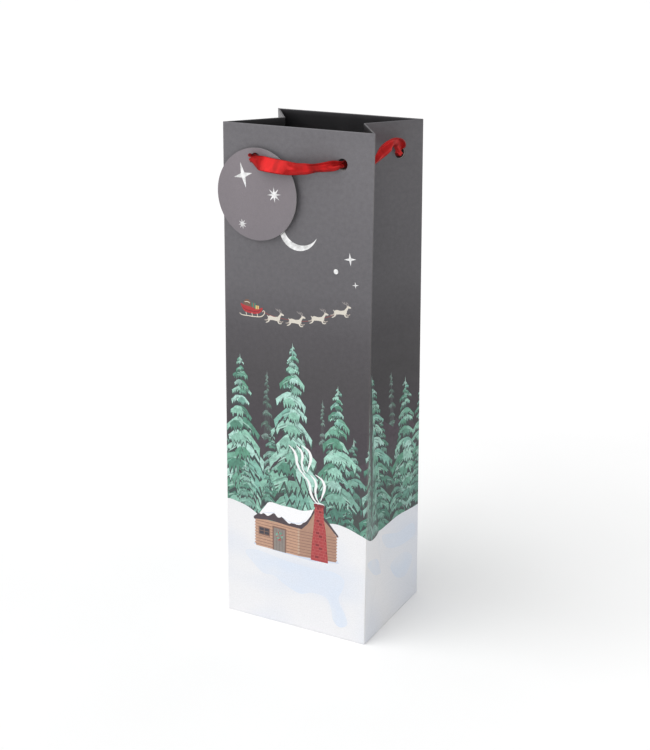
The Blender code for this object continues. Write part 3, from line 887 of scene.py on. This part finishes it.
def satin_material():
    """Red satin: fine threads along the ribbon, floats across them, a firm selvedge, and patches of painted
    highlight and shade along it.
    """
    mat = Nodes("red_satin")
    where = mat.flat()
    parts = mat.add("SeparateXYZ", {0: where})
    threads = mat.add("TexWave", {"Vector": where, "Scale": 520.0, "Distortion": 0.6, "Detail": 2.0},
                      bands_direction="X").outputs["Fac"]
    picks = mat.add("TexWave", {"Vector": where, "Scale": 700.0, "Distortion": 1.2, "Detail": 2.0},
                    bands_direction="Y").outputs["Fac"]
    # painted highlight and shade: long light and dark patches along the ribbon stand in for its folds
    # catching the light
    cloud = mat.noise(mat.stretched(where, 0.5, 1.0), 75.0, 4.0)
    off_middle = mat.maths("ABSOLUTE", parts.outputs["X"])
    selvedge = mat.ramp(off_middle, 0.0039, 0.0042, 0.0, 1.0)
    tone = mat.times(mat.ramp(threads, 0.0, 1.0, 0.86, 1.08), mat.ramp(cloud, 0.36, 0.64, 0.52, 1.3))
    tone = mat.times(tone, mat.ramp(selvedge, 0.0, 1.0, 1.0, 0.72))
    mat.set(Base_Color=mat.scaled((0.50, 0.012, 0.014), tone), Metallic=0.5)
    mat.set(Roughness=mat.ramp(threads, 0.0, 1.0, 0.30, 0.42), Anisotropic=0.6)
    mat.set(Specular_Tint=(1.0, 0.30, 0.25, 1.0), Specular_IOR_Level=0.75)
    weave = mat.maths("ADD", mat.times(threads, 0.7), mat.times(picks, 0.3))
    mat.bump(mat.maths("ADD", weave, selvedge), 0.00005, 0.6)
    return mat.material


def floor_material():
    """Plain white, barely uneven."""
    mat = Nodes("studio_floor")
    where = mat.add("TexCoord").outputs["Object"]
    tone = mat.vary(mat.noise(where, 6.0, 2.0), 0.98, 1.0)
    mat.set(Base_Color=mat.scaled((0.97, 0.97, 0.97), tone), Roughness=0.9)
    return mat.material


# ---- sheets cut along their print ----------------------------------------------------------

def inside(xs, ys, outline):
    """Which points an outline winds round."""
    start = np.array(outline)
    end = np.roll(start, -1, axis=0)
    ax, ay, bx, by = start[:, 0, None], start[:, 1, None], end[:, 0, None], end[:, 1, None]
    answers = []
    blocks = 1 + len(xs) * len(outline) // 1000000
    for x, y in zip(np.array_split(xs, blocks), np.array_split(ys, blocks)):
        turn = (bx - ax) * (y - ay) - (x - ax) * (by - ay)
        rising = (ay <= y) & (by > y) & (turn > 0)
        falling = (by <= y) & (ay > y) & (turn < 0)
        answers.append(rising.sum(0) != falling.sum(0))
    return np.concatenate(answers)


def topmost(points, outlines, born=None):
    """The last outline that covers each point, or -1. born is the outline a point belongs to."""
    xs, ys = (np.array([p[k] for p in points]) for k in (0, 1))
    order = np.argsort(xs)
    sorted_xs = xs[order]
    top = np.full(len(xs), -1)
    for k, outline in enumerate(outlines):
        left, right, low, high = extent(outline)
        near = order[np.searchsorted(sorted_xs, left):np.searchsorted(sorted_xs, right)]
        near = near[(ys[near] > low) & (ys[near] < high)]
        if born is not None:
            near = near[born[near] < k]
        if len(near):
            top[near[inside(xs[near], ys[near], outline)]] = k
    return top


def visible_edges(outlines):
    """The points and edges of the outlines, without those that one later outline hides."""
    points, born, edges = [], [], []
    for k, outline in enumerate(outlines):
        start, count = len(points), len(outline)
        points.extend(outline)
        born.extend([k] * count)
        edges.extend((start + i, start + (i + 1) % count) for i in range(count))
    cover = topmost(points, outlines, np.array(born))
    shown = [(a, b) for a, b in edges if cover[a] < 0 or cover[a] != cover[b]]
    used = sorted({k for edge in shown for k in edge})
    index = {k: i for i, k in enumerate(used)}
    return [points[k] for k in used], [(index[a], index[b]) for a, b in shown]


def extent(outline):
    """An outline's lowest and highest u, then its lowest and highest v."""
    us, vs = ([p[k] for p in outline] for k in (0, 1))
    return min(us), max(us), min(vs), max(vs)


def add_grid(points, outline, step):
    """Evenly spaced points over an outline's box, a little off its round numbers."""
    u0, u1, v0, v1 = extent(outline)
    for i in range(1, int((u1 - u0) / step)):
        for j in range(1, int((v1 - v0) / step)):
            points.append((u0 + i * step + 0.013, v0 + j * step + 0.017))


def triangles(points, edges, tolerance, keep_sources):
    """Triangles over the points that keep the edges: their points, corners, middles, sources."""
    made = delaunay_2d_cdt([Vector(p) for p in points], edges, [], 0, tolerance, keep_sources)
    flat, tris = made[0], made[2]
    return flat, tris, [tuple((flat[a] + flat[b] + flat[c]) / 3) for a, b, c in tris], made[3]


def mosaic(outline, shapes, holes, lines, step):
    """Triangles that fill an outline, cut along every shape and line. All in millimetres.

    Returns the points, the triangles, for each triangle the shape that lies on top, or None, and
    what plain_side needs to fill the same outline on the sheet's back.
    """
    u0, u1, v0, v1 = extent(outline)
    picked = []
    for shape in shapes:
        left, right, low, high = extent(shape[0])
        if right > u0 and left < u1 and high > v0 and low < v1:
            picked.append(shape)
    outlines = [[tuple(p) for p in shape[0]] for shape in picked]
    points, edges = visible_edges(outlines) if picked else ([], [])
    for loop in [outline] + holes + lines:
        start, count = len(points), len(loop)
        points.extend(tuple(p) for p in loop)
        closed = loop is outline or loop in holes
        edges.extend((start + i, start + (i + 1) % count) for i in range(count - (not closed)))
    add_grid(points, outline, step)
    flat, tris, centres, _ = triangles(points, edges, 1e-3, False)
    frames = [[tuple(p) for p in loop] for loop in [outline] + holes]
    kept = topmost(centres, frames) == 0
    tops = topmost(centres, outlines) if picked else np.full(len(centres), -1)
    chosen = [(tri, picked[top] if top >= 0 else None)
              for tri, keep, top in zip(tris, kept, tops) if keep]
    return flat, [tri for tri, top in chosen], [top for tri, top in chosen], (frames, lines, step)


def plain_side(border, border_edges, frames, lines, step):
    """Larger triangles for a sheet's back, which meet the printed face's edge point by point.

    Returns the points, the triangles, and where each border point is among the points.
    """
    points, edges = list(border), list(border_edges)
    for line in lines:
        start = len(points)
        points.extend(tuple(p) for p in line)
        edges.extend((start + i, start + i + 1) for i in range(len(line) - 1))
    add_grid(points, frames[0], step)
    flat, tris, centres, sources = triangles(points, edges, 1e-4, True)
    kept = topmost(centres, frames) == 0
    match = {source: k for k, found in enumerate(sources) for source in found if source < len(border)}
    return flat, [tri for tri, keep in zip(tris, kept) if keep], match


def build_sheet(name, cells, place, thickness, skins, wear=None):
    """A closed sheet from a mosaic: its printed face, its plain back, and its cut edges.

    place(u, v) gives, for millimetres on the flat, a point in metres and the way into the sheet.
    skins are the materials of the print, the foil, the back and the edge.
    """
    flat, tris, tops, plain = cells
    used = sorted({k for tri in tris for k in tri})
    index = {k: i for i, k in enumerate(used)}
    places = [tuple(flat[k]) for k in used]
    count = len(used)
    faces, slots, paints = [], [], []
    open_edges = {}
    for tri, top in zip(tris, tops):
        a, b, c = (index[k] for k in tri)
        faces.append((a, b, c))
        slots.append(1 if top and top[3] else 0)
        paints.append(top)
        for edge in ((a, b), (b, c), (c, a)):
            if edge[::-1] in open_edges:
                del open_edges[edge[::-1]]
            else:
                open_edges[edge] = True
    border = sorted({k for edge in open_edges for k in edge})
    order = {k: i for i, k in enumerate(border)}
    rim = [(order[a], order[b]) for a, b in open_edges]
    back_flat, back_tris, match = plain_side([places[k] for k in border], rim, *plain)
    for a, b, c in back_tris:
        faces.append((a + count, c + count, b + count))
        slots.append(2)
        paints.append(None)
    for a, b in open_edges:
        faces.append((b, a, match[order[a]] + count, match[order[b]] + count))
        slots.append(3)
        paints.append(None)
    places += [tuple(p) for p in back_flat]
    verts = []
    for k, (u, v) in enumerate(places):
        point, inward = place(u, v)
        verts.append(point if k < count else point + inward * thickness(u, v))
    mesh = bpy.data.meshes.new(name)
    mesh.from_pydata(verts, [], faces)
    for skin in skins:
        mesh.materials.append(skin)
    mesh.polygons.foreach_set("material_index", slots)
    mesh.uv_layers.new(name="flat")
    mesh.color_attributes.new("ink", "FLOAT_COLOR", "CORNER")
    uv_values, ink_values, known = [], [], {}
    for poly, top in zip(mesh.polygons, paints):
        for loop in poly.loop_indices:
            vert = mesh.loops[loop].vertex_index
            u, v = places[vert]
            uv_values += [u * MM, v * MM]
            key = (id(top), vert)
            if top is not None and key not in known:
                colour = top[1](u, v) if callable(top[1]) else top[1]
                known[key] = (*(wear(colour, u, v) if wear else colour), top[2])
            ink_values += known[key] if top is not None else (0.7, 0.69, 0.66, 0.0)
    mesh.uv_layers["flat"].data.foreach_set("uv", uv_values)
    mesh.color_attributes["ink"].data.foreach_set("color", ink_values)
    drop_loose_points(mesh)
    mesh.shade_smooth()
    mesh.set_sharp_from_angle(angle=math.radians(38))
    return add_object(name, mesh)


def drop_loose_points(mesh):
    """Take out the points that no face uses."""
    bm = bmesh.new()
    bm.from_mesh(mesh)
    bmesh.ops.delete(bm, geom=[v for v in bm.verts if not v.link_faces], context="VERTS")
    bm.to_mesh(mesh)
    bm.free()


def rectangle(u0, u1, v0, v1):
    """A rectangle's outline, with points along its sides so that it can bend."""
    corners = [(u0, v0), (u1, v0), (u1, v1), (u0, v1)]
    out = []
    for start, end in zip(corners, corners[1:] + corners[:1]):
        out += dotted(start, end)[:-1]
    return out


def fold_lines(u0, u1, v0, v1):
    """Lines to cut along, so that each rounding and each crease keeps its shape."""
    lines = []
    for side in (-1, 1):
        for crease in (0.0, HALF_D, GUSSET):
            for k in range(-4, 5):
                u = side * (HALF_W + crease + ROUND * k / 4) / MM
                if u0 < u < u1:
                    lines.append([(u, v0 - 1), (u, v1 + 1)])
        for corner_s, way in ((0.0, 1), (GUSSET, -1)):
            for shift in (-0.6, 0.0, 0.6):
                start = side * (HALF_W + corner_s) / MM
                end = side * (HALF_W + corner_s + way * APEX) / MM
                if min(start, end) >= u0 - 3 and max(start, end) <= u1 + 3:
                    lines.append([(start, shift), (end, APEX / MM + shift)])
    heights = [FOOT_ROUND * k / 3 for k in range(-2, 4)]
    heights += [RIM_START + (RIM_END - RIM_START) * k / 8 for k in range(9)]
    heights += [APEX + CREASE_HALF * k for k in (-1, 0, 1)]
    for z in heights:
        v = z / MM
        if v0 < v < v1:
            lines.append([(u0 - 1, v), (u1 + 1, v)])
    return [dotted(*line) for line in lines]


def dotted(start, end, step=5.0):
    """A straight line's points, close enough together to follow a curved fold."""
    start, end = Vector(start), Vector(end)
    count = max(1, round((end - start).length / step))
    return [tuple(start.lerp(end, k / count)) for k in range(count + 1)]


def hole_places():
    """The lacing holes on the flat sheet: in the walls, and again in the turned-over hem."""
    rows = [HOLE_HEIGHT / MM, (RIM_END + RIM_START - HOLE_HEIGHT) / MM]
    back = (2 * HALF_W + GUSSET) / MM
    places = [-HOLE_X / MM, HOLE_X / MM, back - HOLE_X / MM, back + HOLE_X / MM]
    for side in (-1, 1):
        places.append(side * (HALF_W + HOLE_FROM_CORNER) / MM)
        places.append(side * (HALF_W + GUSSET - HOLE_FROM_CORNER) / MM)
    return [(u, v) for u in places for v in rows]


def on_bag(u, v):
    return fold(u * MM, v * MM)


def bag_thickness(u, v):
    return sheet_thickness(u * MM, v * MM)


def bag_sheet(name, u0, u1, skins):
    """A stretch of the bag's sheet, from the foot to the lower edge of the turned-over hem."""
    v0, v1 = -FOOT_ROUND / MM, (RIM_END + HEM_DROP) / MM
    holes = [circle(u, v, HOLE_RADIUS / MM, 28) for u, v in hole_places() if u0 < u < u1]
    cells = mosaic(rectangle(u0, u1, v0, v1), PRINT, holes, fold_lines(u0, u1, v0, v1), 4.0)
    return build_sheet(name, cells, on_bag, bag_thickness, skins, worn)


def rim_card(name, u_middle, skins):
    """The strip of card between the wall and its hem."""
    half, low = 51.0, (HEIGHT - HEM_DROP + 0.0012) / MM
    high = (RIM_START - 0.0002) / MM
    holes = [circle(u_middle + k * HOLE_X / MM, HOLE_HEIGHT / MM, HOLE_RADIUS / MM, 28)
             for k in (-1, 1)]
    cells = mosaic(rectangle(u_middle - half, u_middle + half, low, high), [], holes, [], 12.0)

    def place(u, v):
        point, inward = fold(u * MM, v * MM)
        return point + inward * (PAPER + 0.00004), inward

    return build_sheet(name, cells, place, lambda u, v: 2 * RIM_ROUND - 2 * PAPER - 0.00008, skins)


def base_sheet(skins):
    """The bottom of the bag, inside the rounding of its walls."""
    half_x, half_y = ((half - FOOT_ROUND - BASE_GAP) / MM for half in (HALF_W, HALF_D))
    inset = 34.0
    lines = []
    for side in (-1, 1):
        for shift in (-0.25, 0.0, 0.25):
            x = side * (half_x - inset) + shift
            lines.append([(x, -half_y), (x, half_y)])
    cells = mosaic(rectangle(-half_x, half_x, -half_y, half_y),
                   [(rectangle(-60, 60, -50, 50), snow_base, 0.04, False)], [], lines, 5.0)

    def place(x, y):
        step = 0.00006 if abs(x) < half_x - inset else 0.0
        return Vector((x * MM, -y * MM, step)), UP

    return build_sheet("base_sheet", cells, place, lambda u, v: PAPER, skins)


def snow_base(u, v):
    """The snow as it goes on under the bag."""
    return mix(SNOW, SNOW_SHADE, 0.3 + 0.5 * noise.noise(Vector((u * 0.03, v * 0.03, 2.0))))


# ---- the ribbon ----------------------------------------------------------------------------

def satin_band(name, stations, satin, per=7, columns=14):
    """A woven band through stations of (point, direction of its width, width, cup).

    Where the band is narrower than its weave it gathers into pleats that hold the same cloth.
    cup bends it across its width, in metres.
    """
    points = curve([s[0] for s in stations], per)
    acrosses = curve([s[1] for s in stations], per)
    numbers = curve([Vector((s[2], s[3])) for s in stations], per)
    verts, uvs, travelled = [], [], 0.0
    for i, point in enumerate(points):
        before, after = points[max(i - 1, 0)], points[min(i + 1, len(points) - 1)]
        along = (after - before).normalized()
        across = (acrosses[i] - along * acrosses[i].dot(along)).normalized()
        out = across.cross(along)
        width, cup = numbers[i]
        waves = 1.5
        spare = max(0.0, RIBBON_WIDTH / width - 1)
        pleat = min(0.0009, width / (2 * math.pi * waves) * 2 * math.sqrt(spare))
        if i:
            travelled += (point - points[i - 1]).length
        for j in range(columns + 1):
            a = 2 * j / columns - 1
            lift = pleat * math.cos(math.pi * waves * 2 * (a + 1) / 2) + cup * (1 - a * a)
            verts.append(point + across * (a * width / 2) + out * lift)
            uvs.append((a * RIBBON_WIDTH / 2, travelled))
    faces = []
    row = columns + 1
    for i in range(len(points) - 1):
        for j in range(columns):
            k = i * row + j
            faces.append((k, k + 1, k + row + 1, k + row))
    return band_object(name, verts, faces, uvs, satin)


def band_object(name, verts, faces, uvs, satin):
    mesh = bpy.data.meshes.new(name)
    mesh.from_pydata(verts, [], faces)
    mesh.materials.append(satin)
    layer = mesh.uv_layers.new(name="flat").data
    for loop in mesh.loops:
        layer[loop.index].uv = uvs[loop.vertex_index]
    obj = add_object(name, mesh)
    solid = obj.modifiers.new("thickness", "SOLIDIFY")
    solid.thickness = SATIN_THICK
    solid.offset = 0.0
    apply_modifiers(obj)
    obj.data.shade_smooth()
    return obj


def apply_modifiers(obj):
    """Turn the modifiers' result into the mesh itself."""
    graph = bpy.context.evaluated_depsgraph_get()
    made = bpy.data.meshes.new_from_object(obj.evaluated_get(graph), depsgraph=graph)
    obj.modifiers.clear()
    obj.data = made


def wall_y(end, z=HOLE_HEIGHT):
    return end * (HALF_D - lean_at(z))


def hole_u(side, end):
    """Where a gusset half's hole is round the sheet."""
    return side * (HALF_W + (HOLE_FROM_CORNER if end < 0 else GUSSET - HOLE_FROM_CORNER))


def level_outward(side, end):
    """Straight out of a gusset half at its hole, level."""
    out = outward(hole_u(side, end), HOLE_HEIGHT)
    return Vector((out.x, out.y, 0.0)).normalized()


def gusset_hole(side, end):
    return fold(hole_u(side, end), HOLE_HEIGHT)[0]


def corner_holes(side, end):
    """A corner's two holes, each with the way into the bag there: the wall's, then the gusset's."""
    start = Vector((side * HOLE_X, wall_y(end), HOLE_HEIGHT))
    return start, Vector((0.0, -end, 0.0)), gusset_hole(side, end), -level_outward(side, end)


def front_ribbon(satin):
    """Out through the tag's hole, twisting flat over the tag, and back in on the right."""
    neck = NECK_WIDTH / MM
    # In millimetres from the wall at the holes' height: x, y and z, how the width's direction
    # leans in x and y for 1 in z, then the width and the cup
    rows = (
        (-31.3, 2.2, -0.3, 0.0, 0.0, 4.0, 0.0),
        (-31.1, -0.4, -0.4, 0.0, 0.0, 4.0, 0.0),
        (-31.1, -2.8, -0.4, 0.0, -0.1, 4.0, 0.0),
        (-32.0, -5.0, -0.2, 0.3, -0.45, 6.0, 0.4),
        (-30.6, -6.2, -1.2, 0.3, -0.9, 8.0, 0.8),
        (-26.6, -6.4, -2.2, 0.1, -0.25, 8.6, 0.6),
        (-21.6, -6.6, -2.8, 0.0, 0.5, 9.8, 0.3),
        (-15.0, -6.6, -3.5, 0.0, 0.62, 10.0, 0.2),
        (-7.0, -6.9, -4.0, 0.0, 0.5, 9.6, -0.2),
        (-0.5, -7.1, -4.2, 0.0, 0.12, 8.6, -0.6),
        (5.0, -7.1, -4.0, 0.0, -0.3, 8.6, -0.4),
        (10.5, -7.0, -3.5, 0.0, -0.42, 8.6, -0.2),
        (16.5, -5.8, -2.7, 0.0, -0.7, 8.2, 0.0),
        (23.0, -3.8, -1.8, 0.0, -0.45, 7.8, 0.3),
        (29.0, -2.6, -0.6, 0.0, 0.15, 6.4, 0.8),
        (32.2, -0.8, 0.0, 0.1, 0.2, neck, 0.0),
        (32.8, 2.2, 0.0, 0.2, 0.0, neck, 0.0),
    )
    stations = []
    for x, y, z, lean_x, lean_y, width, cup in rows:
        point = vec(x * MM, wall_y(-1) + y * MM, HOLE_HEIGHT + z * MM)
        stations.append((point, vec(lean_x, lean_y, 1.0), width * MM, cup * MM))
    return satin_band("satin_front", stations, satin)


def back_ribbon(satin):
    """The plain stretch across the back."""
    y = wall_y(1)
    z = HOLE_HEIGHT
    stations = []
    for x, off, sag, width in ((0.0328, -0.0022, 0.0, NECK_WIDTH), (0.0324, 0.0010, 0.0002, 0.0052),
                               (0.0290, 0.0022, 0.0006, 0.0074), (0.0180, 0.0022, 0.0026, 0.0090)):
        stations.append((vec(x, y + off, z - sag), vec(0.0, 0.06, 1), width, -0.0003))
    stations.append((vec(0.0, y + 0.0020, z - 0.0036), vec(0.0, -0.10, 1), 0.0090, 0.0))
    for point, across, width, cup in reversed(stations[:4]):
        stations.append((vec(-point.x, point.y, point.z), vec(0.0, 0.10, 1), width, cup))
    return satin_band("satin_back", stations, satin)


def corner_ribbon(name, side, end, satin):
    """Inside the bag, from a wall's hole round the corner to the gusset's hole."""
    start, into, finish, inside = corner_holes(side, end)
    stations = [(start - into * PAST_HOLE, UP, NECK_WIDTH, 0.0),
                (start + into * 0.0034, UP, 0.0058, 0.0)]
    for share in (0.36, 0.64):
        way = (start + into * 0.0048).lerp(finish + inside * 0.0040, share)
        stations.append((way + (into + inside).normalized() * 0.0014, UP, 0.0080, 0.0004))
    stations += [(finish + inside * 0.0030, UP, 0.0058, 0.0),
                 (finish - inside * PAST_HOLE, UP, NECK_WIDTH, 0.0)]
    return satin_band(name, stations, satin, 6, 12)


def valley_ribbon(name, side, satin):
    """Outside a gusset, arching over its valley from one half's hole to the other's."""
    front, back = gusset_hole(side, -1), gusset_hole(side, 1)
    stations = [(front - level_outward(side, -1) * 0.0020, UP, NECK_WIDTH, 0.0),
                (front + level_outward(side, -1) * 0.0018 + UP * 0.0006, UP, 0.0050, 0.0)]
    rise, bulge = 0.0100, 0.0066
    for share in (0.20, 0.38, 0.50, 0.62, 0.80):
        wave = math.sin(math.pi * share)
        slope = rise * math.pi * math.cos(math.pi * share)
        point = front.lerp(back, share) + UP * (rise * wave) + Vector((side * bulge * wave, 0, 0))
        square = Vector((0.0, -slope, back.y - front.y)).normalized()
        lie = 0.9 * math.sin(2 * math.pi * share)
        stations.append((point, square + Vector((side * (0.55 - lie), 0, 0)), 0.0080, 0.0010))
    stations += [(back + level_outward(side, 1) * 0.0018 + UP * 0.0006, UP, 0.0050, 0.0),
                 (back - level_outward(side, 1) * 0.0020, UP, NECK_WIDTH, 0.0)]
    return satin_band(name, stations, satin, 7, 12)


def knotted_corner(satin):
    """The back left corner, where the ribbon's two ends are tied."""
    start, into, finish, inside = corner_holes(-1, 1)
    low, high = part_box("ribbon_knot")
    centre = (low + high) / 2
    along = (finish - start).normalized()
    pieces = [satin_band("satin_end_panel", [
        (start - into * PAST_HOLE, UP, NECK_WIDTH, 0.0),
        (start + into * 0.0032, UP, 0.0056, 0.0),
        (centre - along * 0.0050, UP, 0.0050, 0.0),
        (centre - along * 0.0022, UP, 0.0034, 0.0)], satin, 6, 12)]
    pieces.append(satin_band("satin_end_gusset", [
        (centre + along * 0.0022, UP, 0.0034, 0.0),
        (centre + along * 0.0050, UP, 0.0050, 0.0),
        (finish + inside * 0.0030, UP, 0.0056, 0.0),
        (finish - inside * PAST_HOLE, UP, NECK_WIDTH, 0.0)], satin, 6, 12))
    pieces.append(overhand_knot(centre, along, satin))
    return pieces


def overhand_knot(centre, along, satin):
    """Two turns pulled tight round each other, with the cut tails hanging below."""
    across = along.cross(UP).normalized()
    parts = []
    for index, flip in enumerate((1, -1)):
        loop = []
        turns = 9
        for k in range(turns + 1):
            a = 2 * math.pi * k / turns * 1.05 + index * math.pi
            loop.append((centre + along * (flip * 0.0011 + 0.0010 * math.sin(a))
                         + across * (0.0021 * math.cos(a)) + UP * (0.0030 * math.sin(a)),
                         along + UP * 0.2, 0.0034, 0.0004))
        parts.append(satin_band("knot_turn", loop, satin, 5, 10))
        tail = [(centre + along * (flip * 0.0010), along, 0.0036, 0.0),
                (centre + along * (flip * 0.0020) - UP * 0.0045 + across * 0.0006, along, 0.0060, 0.0),
                (centre + along * (flip * 0.0042) - UP * 0.0105 + across * 0.0010 * flip,
                 along + UP * 0.15 * flip, 0.0088, 0.0003),
                (centre + along * (flip * 0.0050) - UP * 0.0160 + across * 0.0014 * flip,
                 along + UP * 0.35 * flip, 0.0090, 0.0005)]
        parts.append(satin_band("knot_tail", tail, satin, 5, 10))
    bm = bmesh.new()
    for part in parts:
        bm.from_mesh(part.data)
    mesh = bpy.data.meshes.new("satin_knot")
    bm.to_mesh(mesh)
    bm.free()
    mesh.materials.append(satin)
    for part in parts:
        bpy.data.objects.remove(part)
    obj = add_object("satin_knot", mesh)
    obj.data.shade_smooth()
    return obj


# ---- the tag -------------------------------------------------------------------------------

def tag_tone(u, v):
    """A little lighter and warmer than the bag."""
    cloud = noise.noise(Vector((u * 0.05, v * 0.05, 8.0)))
    return scaled(mix(srgb(118, 112, 117), srgb(127, 120, 125), (v + 60) / 60), 1 + 0.05 * cloud)


def make_tag(skins):
    """The round card tag, a little bowed, hanging by its hole in front of the wall."""
    hang = Vector((TAG_HOLE.x, wall_y(-1) - TAG_STAND_OFF - TAG_THICK / 2, TAG_HOLE.z))
    turn = Euler((math.pi / 2 - TAG_TILT, 0.0, -TAG_TURN)).to_matrix().to_4x4()
    frame_of_tag = Matrix.Translation(hang) @ turn
    down = -TAG_HOLE_DROP / MM
    middle_u = 0.8
    radius = TAG_RADIUS / MM
    shapes = [(circle(middle_u, down, radius + 1, 72), tag_tone, 0.10, False)]
    stars = ((star(-9.6, -11.6, 8.6, 4, 0.26, 0.24, 0.86)), star(14.4, -22.4, 5.2, 8, 0.1, 0.34),
             star(-10.4, -44.2, 3.4, 8, 0.2, 0.36))
    shapes += [(shape, SNOW, 0.0, True) for shape in stars]
    hole = circle(0, 0, TAG_HOLE_RADIUS / MM, 32)
    cells = mosaic(circle(middle_u, down, radius, 120), shapes, [hole], [], 3.0)

    inward = turn.to_3x3() @ Vector((0.0, 0.0, -1.0))

    def place(u, v):
        bow = 0.00025 * ((u - middle_u) / radius) ** 2
        return frame_of_tag @ Vector((u * MM, v * MM, TAG_THICK / 2 + bow)), inward

    return build_sheet("tag", cells, place, lambda u, v: TAG_THICK, skins)


# ---- putting it together -------------------------------------------------------------------

def soften(name, material, width=0.00012):
    """Give a kept CAD piece its finish and slightly rounded edges."""
    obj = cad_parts[name]
    obj.data.materials.clear()
    obj.data.materials.append(material)
    bevel = obj.modifiers.new("soft_edges", "BEVEL")
    bevel.width = width
    bevel.segments = 2
    bevel.limit_method = "ANGLE"


def look(obj, place, bearing):
    """Put a light or the camera in its place, looking along a bearing."""
    obj.location = place
    obj.rotation_mode = "QUATERNION"
    obj.rotation_quaternion = bearing.to_track_quat("-Z", "Y")


def make_studio():
    """A plain pale floor, an even white world and two wide suns."""
    mesh = bpy.data.meshes.new("studio_floor")
    bm = bmesh.new()
    bmesh.ops.create_grid(bm, x_segments=2, y_segments=2, size=30.0)
    bm.to_mesh(mesh)
    bm.free()
    mesh.materials.append(floor_material())
    floor = add_object("studio_floor", mesh)
    world = bpy.data.worlds.new("studio")
    bpy.context.scene.world = world
    world.use_nodes = True
    background = world.node_tree.nodes["Background"]
    background.inputs["Color"].default_value = (1.0, 1.0, 1.0, 1.0)
    background.inputs["Strength"].default_value = 0.60
    add_sun("key", Vector((-0.42, -0.54, 0.74)), 1.5, 60)
    add_sun("overhead", Vector((0.0, 0.12, 1.0)), 0.4, 80)


def add_sun(name, bearing, strength, spread):
    """A wide soft light from a bearing; spread is its apparent size in degrees."""
    light = bpy.data.lights.new(name, "SUN")
    light.energy = strength
    light.angle = math.radians(spread)
    look(add_object(name, light), bearing.normalized() * 2, -bearing)


def make_camera():
    """At the photograph's angle: 28 degrees to the right of the front, 19 above it."""
    azimuth, elevation, distance = math.radians(28.08), math.radians(18.92), 0.944
    aim = Vector((0.0009, 0.0, 0.1773))
    back = Vector((math.sin(azimuth) * math.cos(elevation),
                   -math.cos(azimuth) * math.cos(elevation), math.sin(elevation)))
    data = bpy.data.cameras.new("camera")
    data.lens = 64.5
    data.sensor_width = 36.0
    data.clip_start = 0.01
    camera = add_object("camera", data)
    look(camera, aim + back * distance, -back)
    bpy.context.scene.camera = camera
    bpy.context.scene.view_settings.view_transform = "Standard"


def across_gusset(piece):
    """A piece between the front and the back walls, left with no body and its place baked into its points.
    """
    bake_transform(piece)


def main():
    make_camera()
    lay_print()
    ink, foil, lining = print_material(), foil_material(), lining_material()
    edge, board, satin = edge_material(), card_material(), satin_material()
    skins = (ink, foil, lining, edge)
    wall_half = (HALF_W - STRIP) / MM
    gusset_end = (HALF_W + GUSSET + STRIP) / MM
    back_end = (3 * HALF_W + GUSSET - STRIP) / MM

    front = bag_sheet("front_sheet", -wall_half, wall_half, skins)
    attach(front, "bag")
    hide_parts("front_panel", "front_hem")
    back = bag_sheet("back_sheet", gusset_end, back_end, skins)
    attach(back, "back_wall")
    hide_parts("back_panel", "back_hem")
    for word, u0, u1 in (("right", wall_half, gusset_end), ("left", -gusset_end, -wall_half)):
        gusset = bag_sheet("gusset_" + word + "_sheet", u0, u1, skins)
        across_gusset(gusset)
        halves = ["gusset_" + word + "_" + end for end in ("front", "back")]
        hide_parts(*halves, *(half + "_hem" for half in halves), "gusset_" + word + "_foot")
    base = base_sheet(skins)
    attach(base, "bag")
    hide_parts("base_panel")
    cards = (("front", "bag", 0.0), ("back", "back_wall", (2 * HALF_W + GUSSET) / MM))
    for word, body, u in cards:
        card = rim_card(word + "_card", u, (lining, lining, lining, edge))
        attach(card, body)
        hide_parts(word + "_stiffener")
    for name in ("bottom_flap_left", "bottom_flap_right", "bottom_flap_back", "seam_flap"):
        soften(name, board, 0.00008)
    soften("base_board", board, 0.0002)

    spans = [(front_ribbon(satin), "bag", "ribbon_front"), (back_ribbon(satin), "back_wall", "ribbon_back")]
    for piece, body, node in spans:
        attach(piece, body)
        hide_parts(node)
    for word, side, end in (("front_left", -1, -1), ("front_right", 1, -1), ("back_right", 1, 1)):
        spans.append((corner_ribbon("satin_corner_" + word, side, end, satin), None,
                      "ribbon_corner_" + word))
    for word, side in (("left", -1), ("right", 1)):
        spans.append((valley_ribbon("satin_valley_" + word, side, satin), None, "ribbon_valley_" + word))
    for piece, node in zip(knotted_corner(satin), ("ribbon_end_panel", "ribbon_end_gusset", "ribbon_knot")):
        spans.append((piece, None, node))
    for piece, body, node in spans:
        if body is None:
            across_gusset(piece)
            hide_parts(node)

    tag = make_tag((ink, foil, lining, edge))
    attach(tag, "tag")
    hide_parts("gift_tag")
    make_studio()


main()
